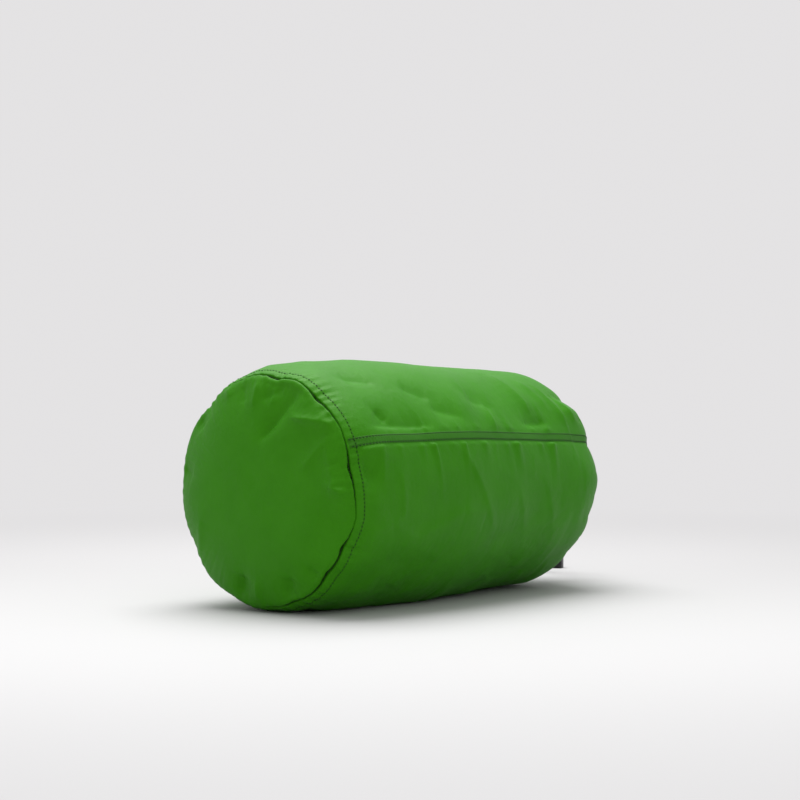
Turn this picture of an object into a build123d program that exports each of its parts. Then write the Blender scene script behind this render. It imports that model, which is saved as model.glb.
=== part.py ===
from build123d import *
import math
import os

# A filled stuff sack lying on its side with its mouth drawn shut. Millimetres, +Z up, +X from the base panel
# towards the mouth. The origin is on the ground, under the middle of the sack without its cord.

# ---- the filled sack ----
crown_height = 12.0          # bulge of the base panel past its seam
tube_length = 320.0          # base seam to the gathered end
hem_depth = 18.0             # casing that stands out past the gathered end
axis_height = 85.0           # axis of the roll above the ground, which flattens its underside
seam_radius = 82.0           # drawn-in waist at the base seam
rim_radius = 88.5            # tube just past the base seam
rim_distance = 19.0
flank_radius = 91.2
flank_distance = 64.0
belly_radius = 92.0          # fullest place
belly_distance = 128.0
neck_radius = 86.0           # tube before the shoulder
neck_distance = 250.0
shoulder_radii = (82.0, 64.0, 47.0)       # the shoulder rounds over to the gathered end
shoulder_distances = (31.0, 16.0, 7.0)    # of those, before the gathered end
gather_radius = 32.0         # flat gathered end, inside the shoulder
fabric_wall = 0.4            # coated nylon and its seam allowance, as one wall
layer_gap = 0.04             # air between two layers that lie on each other
load_gap = 0.2               # fabric to what is stuffed inside

# ---- seams ----
binding_width = 9.0
binding_thickness = 0.9
binding_clearance = 0.3
topstitch_distance = 7.0     # second row beside the base seam
fell_row_distance = 7.0      # between the two rows of the flat-felled seam
fell_margin = 1.2            # folded edge outside each row
fell_thickness = 0.5
fell_angle = 25.0            # above the horizontal, on the -Y side
thread_width = 0.5
thread_height = 0.35

# ---- mouth casing ----
hem_inner_wall = 5.0         # gathered fabric inside the ring of cord
hem_outer_wall = 4.0         # and outside it, up to the pleats
pleat_count = 24
pleat_radius = 2.9
cord_ring_radius = 16.0
cord_ring_distance = 8.0     # ring of cord behind the gathered end
stitch_length = 2.4
buttonhole_border = 1.2
buttonhole_height = 0.4

# ---- cord ----
cord_diameter = 3.0
cord_clearance = 0.5         # around the cord inside its casing
cord_side_gap = 0.2          # between the two ends, side by side
slot_side_gap = 0.3          # beside the two ends in a slot
elbow_radius = 3.0
bend_share = 0.45            # of the shorter run beside a corner that its arc may take

# ---- cord lock ----
lock_side_wall = 2.3         # beside the groove for the plunger's lugs
lock_face_wall = 1.5         # in front of the bore
lock_corner = 4.0
lock_gap = 0.5               # casing to lock
plunger_diameter = 9.6
plunger_clearance = 0.2      # all round, on the radius
plunger_travel = 3.8
plunger_foot = 2.2           # solid web under the plunger's slot
plunger_rise = 5.5           # button above the body at rest
plunger_edge = 0.8
lock_roof = 4.5              # body above its slot
lock_floor = 2.0             # body under the spring
lug_width = 2.0
lug_height = 1.6
lug_depth = 0.8
lug_clearance = 0.1
spring_room = 8.5            # spring length at rest
spring_wire = 0.7
spring_diameter = 6.6
spring_turns = 4.5
spring_end_gap = 0.05

# ---- cord end ----
clip_length = 22.0
clip_width = 13.0
clip_height = 9.0
clip_corner = 3.0
clip_edge = 0.8
clip_wall = 1.2
clip_entry = 3.0             # thickness of the wall that the cord enters through
clip_part_gap = 0.05         # between shell and cover
cavity_length = 13.0
knot_gap = 0.3
knot_edge = 2.2
pin_diameter = 1.6
pin_length = 2.4
pin_clearance = 0.1
pin_inset = 2.4
clip_heading = (0.42, -0.91)  # the cord end points this way on the ground
clip_entry_distance = 86.0   # past the casing, to where the cord enters it
clip_entry_side = 73.0       # and off to the +Y side

# ---- places worked out from the sizes above ----
cord_spacing = cord_diameter + cord_side_gap
casing_diameter = cord_diameter + 2 * cord_clearance
slot_width = cord_spacing + cord_diameter + 2 * slot_side_gap
cord_window = cord_diameter + cord_side_gap     # height left for the cord while the spring grips it
slot_height = cord_window + plunger_travel
mouth_hole_radius = cord_ring_radius - casing_diameter / 2 - hem_inner_wall
pleat_circle_radius = cord_ring_radius + casing_diameter / 2 + hem_outer_wall
bore_diameter = plunger_diameter + 2 * plunger_clearance
lug_reach = plunger_diameter + 2 * lug_depth
groove_reach = lug_reach + 2 * lug_clearance
lock_depth = bore_diameter + 2 * lock_face_wall     # along X
lock_width = groove_reach + 2 * lock_side_wall      # along Y
total_length = crown_height + tube_length + hem_depth
base_x = -total_length / 2
seam_x = base_x + crown_height
end_x = seam_x + tube_length
hem_tip_x = end_x + hem_depth
cord_ring_x = end_x + cord_ring_distance
cord_height = axis_height - cord_ring_radius
lock_back_x = hem_tip_x + lock_gap
lock_x = lock_back_x + lock_depth / 2
tail_x = lock_back_x + lock_depth + load_gap

os.makedirs("parts", exist_ok=True)


def save(part, label):
    """Label a finished piece and write it out."""
    part.label = label
    export_step(part, f"parts/{label}.step")


def filled_form(inset):
    """The sack's filled form, drawn in by inset, flattened where it rests, and never below the ground."""
    face = inset * math.sqrt(0.5)
    shoulder = []
    for distance, radius in zip(shoulder_distances, shoulder_radii):
        shoulder.append((end_x - distance - face, radius - face))
    with BuildPart() as form:
        with BuildSketch(Plane((0, 0, axis_height), x_dir=(1, 0, 0), z_dir=(0, -1, 0))):
            with BuildLine():
                Spline(
                    (base_x + inset, 0),
                    (base_x + 0.3 * crown_height + inset, 0.62 * seam_radius),
                    (seam_x, seam_radius - inset),
                    tangents=((0, 1), (0.8, 0.6)),
                )
                Spline(
                    (seam_x, seam_radius - inset),
                    (seam_x + rim_distance, rim_radius - inset),
                    (seam_x + flank_distance, flank_radius - inset),
                    (seam_x + belly_distance, belly_radius - inset),
                    (seam_x + neck_distance, neck_radius - inset),
                    *shoulder,
                    (end_x - inset, gather_radius - face),
                )
                Line((end_x - inset, gather_radius - face), (end_x - inset, 0))
                Line((end_x - inset, 0), (base_x + inset, 0))
            make_face()
        revolve(axis=Axis((0, 0, axis_height), (1, 0, 0)))
        split(bisect_by=Plane.XY.offset(max(inset, 0)), keep=Keep.TOP)
    return form.part


def layer(outer_inset, inner_inset):
    """One layer of the sack all round, between two insets of the filled form."""
    with BuildPart() as shell:
        add(filled_form(outer_inset))
        add(filled_form(inner_inset), mode=Mode.SUBTRACT)
    return shell.part


def slab_across(start_x, width):
    """A slab across the sack, from start_x towards the mouth."""
    with BuildPart() as slab:
        with BuildSketch(Plane.YZ.offset(start_x)):
            with Locations((0, axis_height)):
                Circle(2 * belly_radius)
        extrude(amount=width)
    return slab.part


def slab_along(width, side):
    """A slab along the felled seam, its middle moved sideways round the sack by side."""
    with BuildPart() as slab:
        with BuildSketch(Plane.YZ.offset(seam_x + topstitch_distance + fell_margin)):
            with Locations(Location((0, axis_height), 180 - fell_angle)):
                with Locations((belly_radius, side)):
                    Rectangle(1.5 * belly_radius, width)
        extrude(amount=tube_length - topstitch_distance - 2 * fell_margin)
    return slab.part


def polyline_lengths(points):
    """Length of each run of a route."""
    return [(Vector(b) - Vector(a)).length for a, b in zip(points[:-1], points[1:])]


def bend_radii(points):
    """The largest arc that each corner of a route has room for."""
    runs = polyline_lengths(points)
    radii = []
    for i in range(1, len(points) - 1):
        arriving = Vector(points[i]) - Vector(points[i - 1])
        leaving = Vector(points[i + 1]) - Vector(points[i])
        turn = arriving.get_angle(leaving)
        radii.append(bend_share * min(runs[i - 1], runs[i]) / math.tan(math.radians(turn / 2)))
    return radii


def tube(points, radii, diameter):
    """A round tube along straight runs joined by arcs, and the length of its middle line."""
    with BuildPart() as piece:
        with BuildLine() as route:
            FilletPolyline(*points, radius=radii)
        path = route.wires()[0]
        with BuildSketch(Plane(path @ 0, z_dir=path % 0)):
            Circle(diameter / 2)
        sweep(path=path)
    return piece.part, path.length


# ---- fabric ----
with BuildPart() as base_panel:
    add(layer(0, fabric_wall))
    split(bisect_by=Plane.YZ.offset(seam_x - layer_gap / 2), keep=Keep.BOTTOM)
save(base_panel.part, "base_panel")

with BuildPart() as body_panel:
    add(layer(0, fabric_wall))
    split(bisect_by=Plane.YZ.offset(seam_x + layer_gap / 2), keep=Keep.TOP)
    with BuildSketch(Plane.YZ.offset(end_x - fabric_wall - 1)):
        with Locations((0, axis_height)):
            Circle(mouth_hole_radius)
    extrude(amount=fabric_wall + 2, mode=Mode.SUBTRACT)
save(body_panel.part, "body_panel")

binding_inset = fabric_wall + layer_gap
with BuildPart() as base_seam_binding:
    add(layer(binding_inset, binding_inset + binding_thickness))
    add(slab_across(seam_x + layer_gap, binding_width), mode=Mode.INTERSECT)
save(base_seam_binding.part, "base_seam_binding")

load_inset = fabric_wall + load_gap
with BuildPart() as packed_load:
    add(filled_form(load_inset))
    with BuildPart(mode=Mode.PRIVATE) as binding_room:
        add(layer(load_inset - 0.1, binding_inset + binding_thickness + binding_clearance))
        room_width = binding_width + 2 * binding_clearance
        add(slab_across(seam_x - binding_clearance, room_width), mode=Mode.INTERSECT)
    add(binding_room.part, mode=Mode.SUBTRACT)
save(packed_load.part, "packed_load")

fell_width = fell_row_distance + 2 * fell_margin
fell_top = layer_gap + fell_thickness
with BuildPart() as side_seam_fell:
    add(layer(-fell_top, -layer_gap))
    add(slab_along(fell_width, 0), mode=Mode.INTERSECT)
save(side_seam_fell.part, "side_seam_fell")

# ---- thread ----
with BuildPart() as base_seam_thread:
    add(layer(-layer_gap - thread_height, -layer_gap))
    add(slab_across(seam_x + layer_gap, thread_width), mode=Mode.INTERSECT)
save(base_seam_thread.part, "base_seam_thread")

with BuildPart() as base_topstitch_thread:
    add(layer(-layer_gap - thread_height, -layer_gap))
    add(slab_across(seam_x + topstitch_distance, thread_width), mode=Mode.INTERSECT)
save(base_topstitch_thread.part, "base_topstitch_thread")

with BuildPart() as side_seam_thread:
    add(layer(-fell_top - layer_gap - thread_height, -fell_top - layer_gap))
    with BuildPart(mode=Mode.PRIVATE) as thread_rows:
        for side in (-fell_row_distance / 2, fell_row_distance / 2):
            add(slab_along(thread_width, side))
    add(thread_rows.part, mode=Mode.INTERSECT)
save(side_seam_thread.part, "side_seam_thread")

# ---- mouth casing, gathered round the ring of cord ----
half_spacing = cord_spacing / 2
ring_corner_radius = cord_ring_radius / math.cos(math.pi / 8)
ring_corners = []
for step in range(8):
    turn = math.radians(-112.5 - 45 * step)
    ring_corners.append(
        (cord_ring_x, ring_corner_radius * math.cos(turn), axis_height + ring_corner_radius * math.sin(turn))
    )
loop_points = [
    (tail_x, -half_spacing, cord_height),
    (cord_ring_x, -half_spacing, cord_height),
    *ring_corners,
    (cord_ring_x, half_spacing, cord_height),
    (tail_x, half_spacing, cord_height),
]
side_half = cord_ring_radius * math.tan(math.pi / 8)
ring_first_radius = 0.95 * (side_half - half_spacing - elbow_radius) / math.tan(math.pi / 8)
ring_radii = [ring_first_radius] + [0.99 * cord_ring_radius] * 6 + [ring_first_radius]
loop_radii = [elbow_radius] + ring_radii + [elbow_radius]

with BuildPart() as mouth_hem:
    with BuildSketch(Plane.YZ.offset(end_x + layer_gap)):
        with Locations((0, axis_height)):
            Circle(pleat_circle_radius)
            with PolarLocations(pleat_circle_radius, pleat_count):
                Circle(pleat_radius)
            Circle(mouth_hole_radius, mode=Mode.SUBTRACT)
    extrude(amount=hem_depth - layer_gap)
    casing_points = [(hem_tip_x + 1, y, z) if x == tail_x else (x, y, z) for x, y, z in loop_points]
    add(tube(casing_points, loop_radii, casing_diameter)[0], mode=Mode.SUBTRACT)
    with BuildSketch(Plane.YZ.offset(cord_ring_x)):
        with Locations((0, cord_height)):
            SlotOverall(slot_width, casing_diameter)
    extrude(amount=hem_depth, mode=Mode.SUBTRACT)
save(mouth_hem.part, "mouth_hem")

stitch_radius = pleat_circle_radius + pleat_radius + layer_gap + thread_height / 2
with BuildPart() as hem_thread:
    with BuildSketch(Plane.YZ.offset(hem_tip_x - 2 * thread_width)):
        with Locations((0, axis_height)):
            with PolarLocations(stitch_radius, pleat_count):
                Rectangle(thread_height, stitch_length)
    extrude(amount=thread_width)
save(hem_thread.part, "hem_thread")

with BuildPart() as cord_buttonhole:
    with BuildSketch(Plane.YZ.offset(hem_tip_x)):
        with Locations((0, cord_height)):
            SlotOverall(slot_width + 2 * buttonhole_border, casing_diameter + 2 * buttonhole_border)
            SlotOverall(slot_width, casing_diameter, mode=Mode.SUBTRACT)
    extrude(amount=buttonhole_height)
save(cord_buttonhole.part, "cord_buttonhole")

# ---- cord ----
drawcord_loop, loop_length = tube(loop_points, loop_radii, cord_diameter)
save(drawcord_loop, "drawcord_loop")

ground = 0.1 + cord_diameter / 2
clip_axis_height = clip_height / 2
heading = Vector(*clip_heading).normalized()
sideways = Vector(-heading.Y, heading.X)
entry = Vector(hem_tip_x + clip_entry_distance, clip_entry_side)
knot_start = clip_entry + knot_gap


def clip_point(along, across):
    """A place at the cord's height, measured from the cord end's entry."""
    place = entry + heading * along + sideways * across
    return (place.X, place.Y, clip_axis_height)


left_points = [
    (tail_x, half_spacing, cord_height),
    (hem_tip_x + 39, half_spacing, cord_height),
    (hem_tip_x + 49, 17, 48),
    (hem_tip_x + 47, 42, 22),
    (hem_tip_x + 37, 68, ground),
    (hem_tip_x + 26, 95, ground),
    (hem_tip_x + 28, 124, ground),
    (hem_tip_x + 51, 140, ground),
    (hem_tip_x + 74, 127, ground),
    clip_point(-24, half_spacing),
    clip_point(knot_start, half_spacing),
]
right_points = [
    (tail_x, -half_spacing, cord_height),
    (hem_tip_x + 42, -half_spacing, cord_height),
    (hem_tip_x + 56, 13, 47),
    (hem_tip_x + 56, 40, 21),
    (hem_tip_x + 46, 66, ground),
    (hem_tip_x + 38, 92, ground),
    (hem_tip_x + 41, 115, ground),
    (hem_tip_x + 57, 125, ground),
    (hem_tip_x + 71, 112, ground),
    clip_point(-21, -half_spacing),
    clip_point(knot_start, -half_spacing),
]
section = math.pi * cord_diameter**2 / 4
print("drawcord_loop", "volume over section x length", drawcord_loop.volume / (section * loop_length))
for label, points in (("drawcord_tail_left", left_points), ("drawcord_tail_right", right_points)):
    radii = bend_radii(points)
    tail, length = tube(points, radii, cord_diameter)
    save(tail, label)
    print(label, "length", round(length), "runs", [round(run) for run in polyline_lengths(points)])
    print(label, "radii", [round(radius, 1) for radius in radii])
    print(label, "volume over section x length", tail.volume / (section * length))

# ---- cord lock ----
slot_middle = cord_height - (slot_height - cord_window) / 2
slot_top = slot_middle + slot_height / 2
window_bottom = slot_top - cord_window
plunger_bottom = window_bottom - plunger_foot
pocket_floor = plunger_bottom - spring_room
lock_top = slot_top + lock_roof
lock_bottom = pocket_floor - lock_floor
plunger_top = lock_top + plunger_rise
lug_bottom = plunger_bottom + lug_clearance
groove_bottom = lug_bottom - plunger_travel - lug_clearance
groove_top = lug_bottom + lug_height + lug_clearance

with BuildPart() as cord_lock_body:
    with BuildSketch(Plane.XY.offset(lock_bottom)):
        with Locations((lock_x, 0)):
            RectangleRounded(lock_depth, lock_width, lock_corner)
    extrude(amount=lock_top - lock_bottom)
    fillet(cord_lock_body.faces().sort_by(Axis.Z)[0].edges(), 1.5)
    fillet(cord_lock_body.faces().sort_by(Axis.Z)[-1].edges(), 1.0)
    with BuildSketch(Plane.XY.offset(pocket_floor)):
        with Locations((lock_x, 0)):
            Circle(bore_diameter / 2)
    extrude(amount=lock_top - pocket_floor + 1, mode=Mode.SUBTRACT)
    with BuildSketch(Plane.YZ.offset(lock_back_x - 1)):
        with Locations((0, slot_middle)):
            RectangleRounded(slot_width, slot_height, 1.5)
    extrude(amount=lock_depth + 2, mode=Mode.SUBTRACT)
    with BuildSketch(Plane.XY.offset(groove_bottom)):
        with Locations((lock_x, 0)):
            Rectangle(lug_width + 2 * lug_clearance, groove_reach)
    extrude(amount=groove_top - groove_bottom, mode=Mode.SUBTRACT)
save(cord_lock_body.part, "cord_lock_body")

with BuildPart() as cord_lock_plunger:
    with BuildSketch(Plane.XY.offset(plunger_bottom)):
        with Locations((lock_x, 0)):
            Circle(plunger_diameter / 2)
    extrude(amount=plunger_top - plunger_bottom)
    fillet(cord_lock_plunger.faces().sort_by(Axis.Z)[-1].edges(), plunger_edge)
    with BuildSketch(Plane.YZ.offset(lock_back_x)):
        with Locations((0, window_bottom + slot_height / 2)):
            RectangleRounded(slot_width, slot_height, 1.5)
    extrude(amount=lock_depth, mode=Mode.SUBTRACT)
    with BuildSketch(Plane.XY.offset(lug_bottom)):
        with Locations((lock_x, 0)):
            Rectangle(lug_width, lug_reach)
    extrude(amount=lug_height)
save(cord_lock_plunger.part, "cord_lock_plunger")

spring_radius = (spring_diameter - spring_wire) / 2
spring_start = pocket_floor + spring_end_gap + spring_wire / 2
spring_rise = spring_room - 2 * spring_end_gap - spring_wire
with BuildPart() as cord_lock_spring:
    with BuildLine(Plane.XY.offset(spring_start).move(Location((lock_x, 0, 0)))) as coil:
        Helix(spring_rise / spring_turns, spring_rise, spring_radius)
    with BuildSketch(Plane(coil.line @ 0, z_dir=coil.line % 0)):
        Circle(spring_wire / 2)
    sweep(path=coil.line, is_frenet=True)
save(cord_lock_spring.part, "cord_lock_spring")

# ---- cord end, clipped over the knot in the two ends ----
clip_plane = Plane((entry.X, entry.Y, 0), x_dir=(heading.X, heading.Y, 0), z_dir=(0, 0, 1))
entry_plane = Plane(clip_point(-1, 0), x_dir=sideways, z_dir=heading)
cavity_middle = clip_entry + cavity_length / 2
cavity_width = clip_width - 2 * clip_wall
pin_x = clip_length - pin_inset
pin_y = clip_width / 2 - pin_inset
part_height = clip_axis_height - clip_part_gap / 2

with BuildPart() as cord_end_shell:
    with BuildSketch(clip_plane):
        with Locations((clip_length / 2, 0)):
            RectangleRounded(clip_length, clip_width, clip_corner)
    extrude(amount=part_height)
    fillet(cord_end_shell.faces().sort_by(Axis.Z)[0].edges(), clip_edge)
    with BuildSketch(clip_plane.offset(clip_wall)):
        with Locations((cavity_middle, 0)):
            RectangleRounded(cavity_length, cavity_width, clip_wall)
    extrude(amount=part_height, mode=Mode.SUBTRACT)
    with BuildSketch(entry_plane):
        SlotOverall(slot_width, cord_diameter + cord_clearance)
    extrude(amount=clip_entry + 2, mode=Mode.SUBTRACT)
    with BuildSketch(clip_plane.offset(part_height)):
        with Locations((pin_x, pin_y), (pin_x, -pin_y)):
            Circle(pin_diameter / 2 + pin_clearance)
    extrude(amount=-(pin_length + pin_clearance), mode=Mode.SUBTRACT)
save(cord_end_shell.part, "cord_end_shell")

with BuildPart() as cord_end_cover:
    with BuildSketch(clip_plane.offset(clip_height)):
        with Locations((clip_length / 2, 0)):
            RectangleRounded(clip_length, clip_width, clip_corner)
    extrude(amount=-part_height)
    fillet(cord_end_cover.faces().sort_by(Axis.Z)[-1].edges(), clip_edge)
    with BuildSketch(clip_plane.offset(clip_height - clip_wall)):
        with Locations((cavity_middle, 0)):
            RectangleRounded(cavity_length, cavity_width, clip_wall)
    extrude(amount=-part_height, mode=Mode.SUBTRACT)
    with BuildSketch(entry_plane):
        SlotOverall(slot_width, cord_diameter + cord_clearance)
    extrude(amount=clip_entry + 2, mode=Mode.SUBTRACT)
    with BuildSketch(clip_plane.offset(clip_height - part_height)):
        with Locations((pin_x, pin_y), (pin_x, -pin_y)):
            Circle(pin_diameter / 2)
    extrude(amount=-(pin_length + clip_part_gap))
save(cord_end_cover.part, "cord_end_cover")

knot_length = cavity_length - 2 * knot_gap
knot_width = cavity_width - 2 * knot_gap
knot_height = clip_height - 2 * clip_wall - 2 * knot_gap
with BuildPart() as tail_knot:
    with BuildSketch(clip_plane.offset(clip_wall + knot_gap)):
        with Locations((knot_start + knot_length / 2, 0)):
            Rectangle(knot_length, knot_width)
    extrude(amount=knot_height)
    fillet(tail_knot.edges(), knot_edge)
save(tail_knot.part, "tail_knot")
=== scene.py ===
"""A filled stuff sack of coated green nylon, lying on its side with its mouth drawn shut.

Metres, +X from the base panel towards the mouth, +Z up. Angles round the sack start at its top and grow
towards -Y, the side that faces the camera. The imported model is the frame, and every piece rides on it.
"""

from __future__ import annotations

import logging
import math
from dataclasses import dataclass, field
from enum import Enum
from typing import Any, Callable, Iterable, Sequence

import bmesh
import bpy
import numpy as np
from mathutils import Matrix, Vector

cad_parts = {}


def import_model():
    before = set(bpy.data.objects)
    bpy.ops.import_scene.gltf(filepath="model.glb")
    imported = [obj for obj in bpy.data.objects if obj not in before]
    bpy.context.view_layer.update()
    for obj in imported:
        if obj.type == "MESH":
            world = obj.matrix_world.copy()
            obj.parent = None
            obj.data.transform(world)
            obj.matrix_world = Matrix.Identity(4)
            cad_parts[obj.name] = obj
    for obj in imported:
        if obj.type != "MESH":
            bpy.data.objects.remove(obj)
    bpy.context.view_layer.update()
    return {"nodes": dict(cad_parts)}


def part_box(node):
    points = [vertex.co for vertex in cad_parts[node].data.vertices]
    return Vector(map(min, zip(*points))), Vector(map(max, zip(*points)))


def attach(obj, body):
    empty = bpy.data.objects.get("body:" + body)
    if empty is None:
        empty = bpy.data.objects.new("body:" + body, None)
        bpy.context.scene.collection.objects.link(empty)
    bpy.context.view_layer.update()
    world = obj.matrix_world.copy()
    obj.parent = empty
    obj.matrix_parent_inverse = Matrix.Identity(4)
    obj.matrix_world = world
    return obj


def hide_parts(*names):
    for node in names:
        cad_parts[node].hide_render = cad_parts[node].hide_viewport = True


log = logging.getLogger("stuff_sack")

MM = 0.001
Array = np.ndarray
Colour = tuple[float, float, float]


class Closure(Enum):
    """Whether a line of points joins back to its start."""

    OPEN = "open"
    CLOSED = "closed"


# ---------------------------------------------------------------- curves and grids


def between(values: Array, places: Array, closure: Closure) -> Array:
    """Catmull-Rom values between samples: each span is the cubic through its four nearest samples.

    Args:
        values: samples along the first axis.
        places: where to read, counted in samples from the first.
        closure: whether the samples wrap round.

    Returns:
        One value for each place.
    """
    count = len(values)
    start = np.floor(places).astype(int)
    if closure is Closure.OPEN:
        start = np.clip(start, 0, count - 2)
    t = (places - start).reshape((-1,) + (1,) * (values.ndim - 1))
    index = [start - 1, start, start + 1, start + 2]
    if closure is Closure.CLOSED:
        p0, p1, p2, p3 = (values[i % count] for i in index)
    else:
        p0, p1, p2, p3 = (values[np.clip(i, 0, count - 1)] for i in index)
    bend = 2 * p0 - 5 * p1 + 4 * p2 - p3
    return p1 + 0.5 * t * ((p2 - p0) + t * (bend + t * (3 * (p1 - p2) + p3 - p0)))


def lengths_along(points: Array) -> Array:
    """Distance along a line of points, from its first."""
    steps = np.linalg.norm(np.diff(points, axis=0), axis=1)
    return np.concatenate([[0.0], np.cumsum(steps)])


def evenly(line: Array, count: int) -> Array:
    """The same line with its points at evenly spaced lengths."""
    along = lengths_along(line)
    wanted = np.linspace(0, along[-1], count)
    return np.stack([np.interp(wanted, along, line[:, k]) for k in range(line.shape[1])], axis=1)


def resampled(points: Array, count: int) -> Array:
    """A smooth line through the points, read at evenly spaced lengths."""
    return evenly(between(points, np.linspace(0, len(points) - 1, 40 * len(points)), Closure.OPEN), count)


def refined(grid: Array, factor: int) -> Array:
    """A grid that is open along its rows and closed round its columns, with factor times the samples."""
    rows = between(grid, np.arange((len(grid) - 1) * factor + 1) / factor, Closure.OPEN)
    turned = rows.swapaxes(0, 1)
    return between(turned, np.arange(len(turned) * factor) / factor, Closure.CLOSED).swapaxes(0, 1)


def unit(vectors: Array) -> Array:
    """Vectors scaled to length one."""
    return vectors / np.maximum(np.linalg.norm(vectors, axis=-1, keepdims=True), 1e-12)


def smoothstep(low: float, high: float, values: Array) -> Array:
    """0 below low, 1 above high, and the cubic 3t^2 - 2t^3 between them."""
    t = np.clip((values - low) / (high - low), 0, 1)
    return t * t * (3 - 2 * t)


def net(along: Array, across: Array) -> tuple[Array, Array]:
    """Two values at every crossing of a net: the first changes from row to row, the second along a row."""
    rows, columns = np.meshgrid(along, across, indexing="ij")
    return rows, columns


def angles_round(count: int, shift: float = 0.0) -> Array:
    """Angles evenly spaced round the sack, the first a share of a step past its top."""
    return 2 * math.pi * (np.arange(count) + shift) / count


def angle_past(angle: Array, start: float) -> Array:
    """How far an angle lies past another, from -pi to pi: the argument of exp(i x difference)."""
    return np.angle(np.exp(1j * (angle - start)))


def grid_quads(rows: int, columns: int) -> Array:
    """Faces of a grid that is closed round its columns, turned so that round x along points outwards."""
    row, column = net(np.arange(rows - 1), np.arange(columns))
    here, right = row * columns + column, row * columns + (column + 1) % columns
    return np.stack([corner.ravel() for corner in (here, right, right + columns, here + columns)], axis=1)


def loop_quads(rows: int, columns: int) -> Array:
    """Faces of a grid that is closed both ways."""
    return grid_quads(rows + 1, columns) % (rows * columns)


def pole_fan(pole: int, columns: int) -> Array:
    """Triangles that close a grid's first row, from the point with that number."""
    ring = np.arange(columns)
    return np.stack([np.full(columns, pole), (ring + 1) % columns, ring], axis=1)


def end_fans(rows: int, columns: int) -> Array:
    """Triangles that close both ends of a grid, from the two points that follow its own."""
    first = pole_fan(rows * columns, columns)
    last = first[:, [0, 2, 1]] + np.array([1, (rows - 1) * columns, (rows - 1) * columns])
    return np.concatenate([first, last])


def mesh_piece(
    name: str, points: Array, faces: Array, extra: Array | None = None, uv: Array | None = None
) -> Any:
    """A smooth-shaded mesh object from whole arrays.

    Args:
        name: the piece's name.
        points: its vertices, one row each.
        faces: quads, one row each.
        extra: triangles, one row each, if it has any.
        uv: a place in metres on the cloth for each vertex.

    Returns:
        The new object, linked to the scene.
    """
    mesh = bpy.data.meshes.new(name)
    corners = faces.ravel() if extra is None else np.concatenate([faces.ravel(), extra.ravel()])
    sizes = np.full(len(faces), faces.shape[1])
    if extra is not None:
        sizes = np.concatenate([sizes, np.full(len(extra), 3)])
    starts = np.concatenate([[0], np.cumsum(sizes)[:-1]])
    mesh.vertices.add(len(points))
    mesh.vertices.foreach_set("co", np.ascontiguousarray(points, np.float32).ravel())
    mesh.loops.add(len(corners))
    mesh.loops.foreach_set("vertex_index", corners.astype(np.int32))
    mesh.polygons.add(len(sizes))
    mesh.polygons.foreach_set("loop_start", starts.astype(np.int32))
    mesh.polygons.foreach_set("loop_total", sizes.astype(np.int32))
    mesh.polygons.foreach_set("use_smooth", np.ones(len(sizes), bool))
    if uv is not None:
        layer = mesh.uv_layers.new(name="cloth")
        layer.data.foreach_set("uv", np.ascontiguousarray(uv[corners], np.float32).ravel())
    mesh.update(calc_edges=True)
    mesh.validate()
    piece = bpy.data.objects.new(name, mesh)
    bpy.context.scene.collection.objects.link(piece)
    return piece


def turned_outwards(piece: Any) -> Any:
    """Join the points that coincide at a pole, and turn the faces of each closed part outwards."""
    skin = bmesh.new()
    skin.from_mesh(piece.data)
    bmesh.ops.remove_doubles(skin, verts=skin.verts, dist=1e-8)
    bmesh.ops.recalc_face_normals(skin, faces=skin.faces)
    skin.to_mesh(piece.data)
    skin.free()
    return piece


def dressed(piece: Any, finish: Any, node: str) -> Any:
    """Give a piece its finish, and let it stand for its node on the sack."""
    piece.data.materials.append(finish)
    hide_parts(node)
    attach(piece, "sack")
    return piece


def band_uv(along: Array, columns: int, radius: float) -> Array:
    """Cloth coordinates of a closed grid: metres round it, mirrored half way so that the join is whole."""
    turn = np.arange(columns) / columns
    across = 2 * math.pi * radius * np.minimum(turn, 1 - turn)
    u, v = np.meshgrid(across, along)
    return np.stack([u.ravel(), v.ravel()], axis=1)


# ---------------------------------------------------------------- shader maths


class Socket:
    """A value inside a material, with arithmetic that adds Math nodes."""

    def __init__(self, shader: "Shader", link: Any) -> None:
        """Wrap an output socket or a plain number."""
        self.shader = shader
        self.link = link

    def _maths(self, operation: str, *values: Any) -> "Socket":
        """One Math node on values."""
        return self.shader.node("ShaderNodeMath", {"operation": operation}, dict(enumerate(values)))

    def __add__(self, other: Any) -> "Socket":
        """self + other."""
        return self._maths("ADD", self, other)

    __radd__ = __add__

    def __sub__(self, other: Any) -> "Socket":
        """self - other."""
        return self._maths("SUBTRACT", self, other)

    def __rsub__(self, other: Any) -> "Socket":
        """other - self."""
        return self._maths("SUBTRACT", other, self)

    def __mul__(self, other: Any) -> "Socket":
        """self x other."""
        return self._maths("MULTIPLY", self, other)

    __rmul__ = __mul__

    def sine(self) -> "Socket":
        """The sine of an angle in radians."""
        return self._maths("SINE", self)

    def size(self) -> "Socket":
        """The value without its sign."""
        return self._maths("ABSOLUTE", self)

    def clamped(self, low: float, high: float) -> "Socket":
        """The value mapped from low..high to 0..1, smoothly."""
        settings = {"interpolation_type": "SMOOTHSTEP"}
        values = {"Value": self, "From Min": low, "From Max": high}
        return self.shader.node("ShaderNodeMapRange", settings, values)


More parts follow.
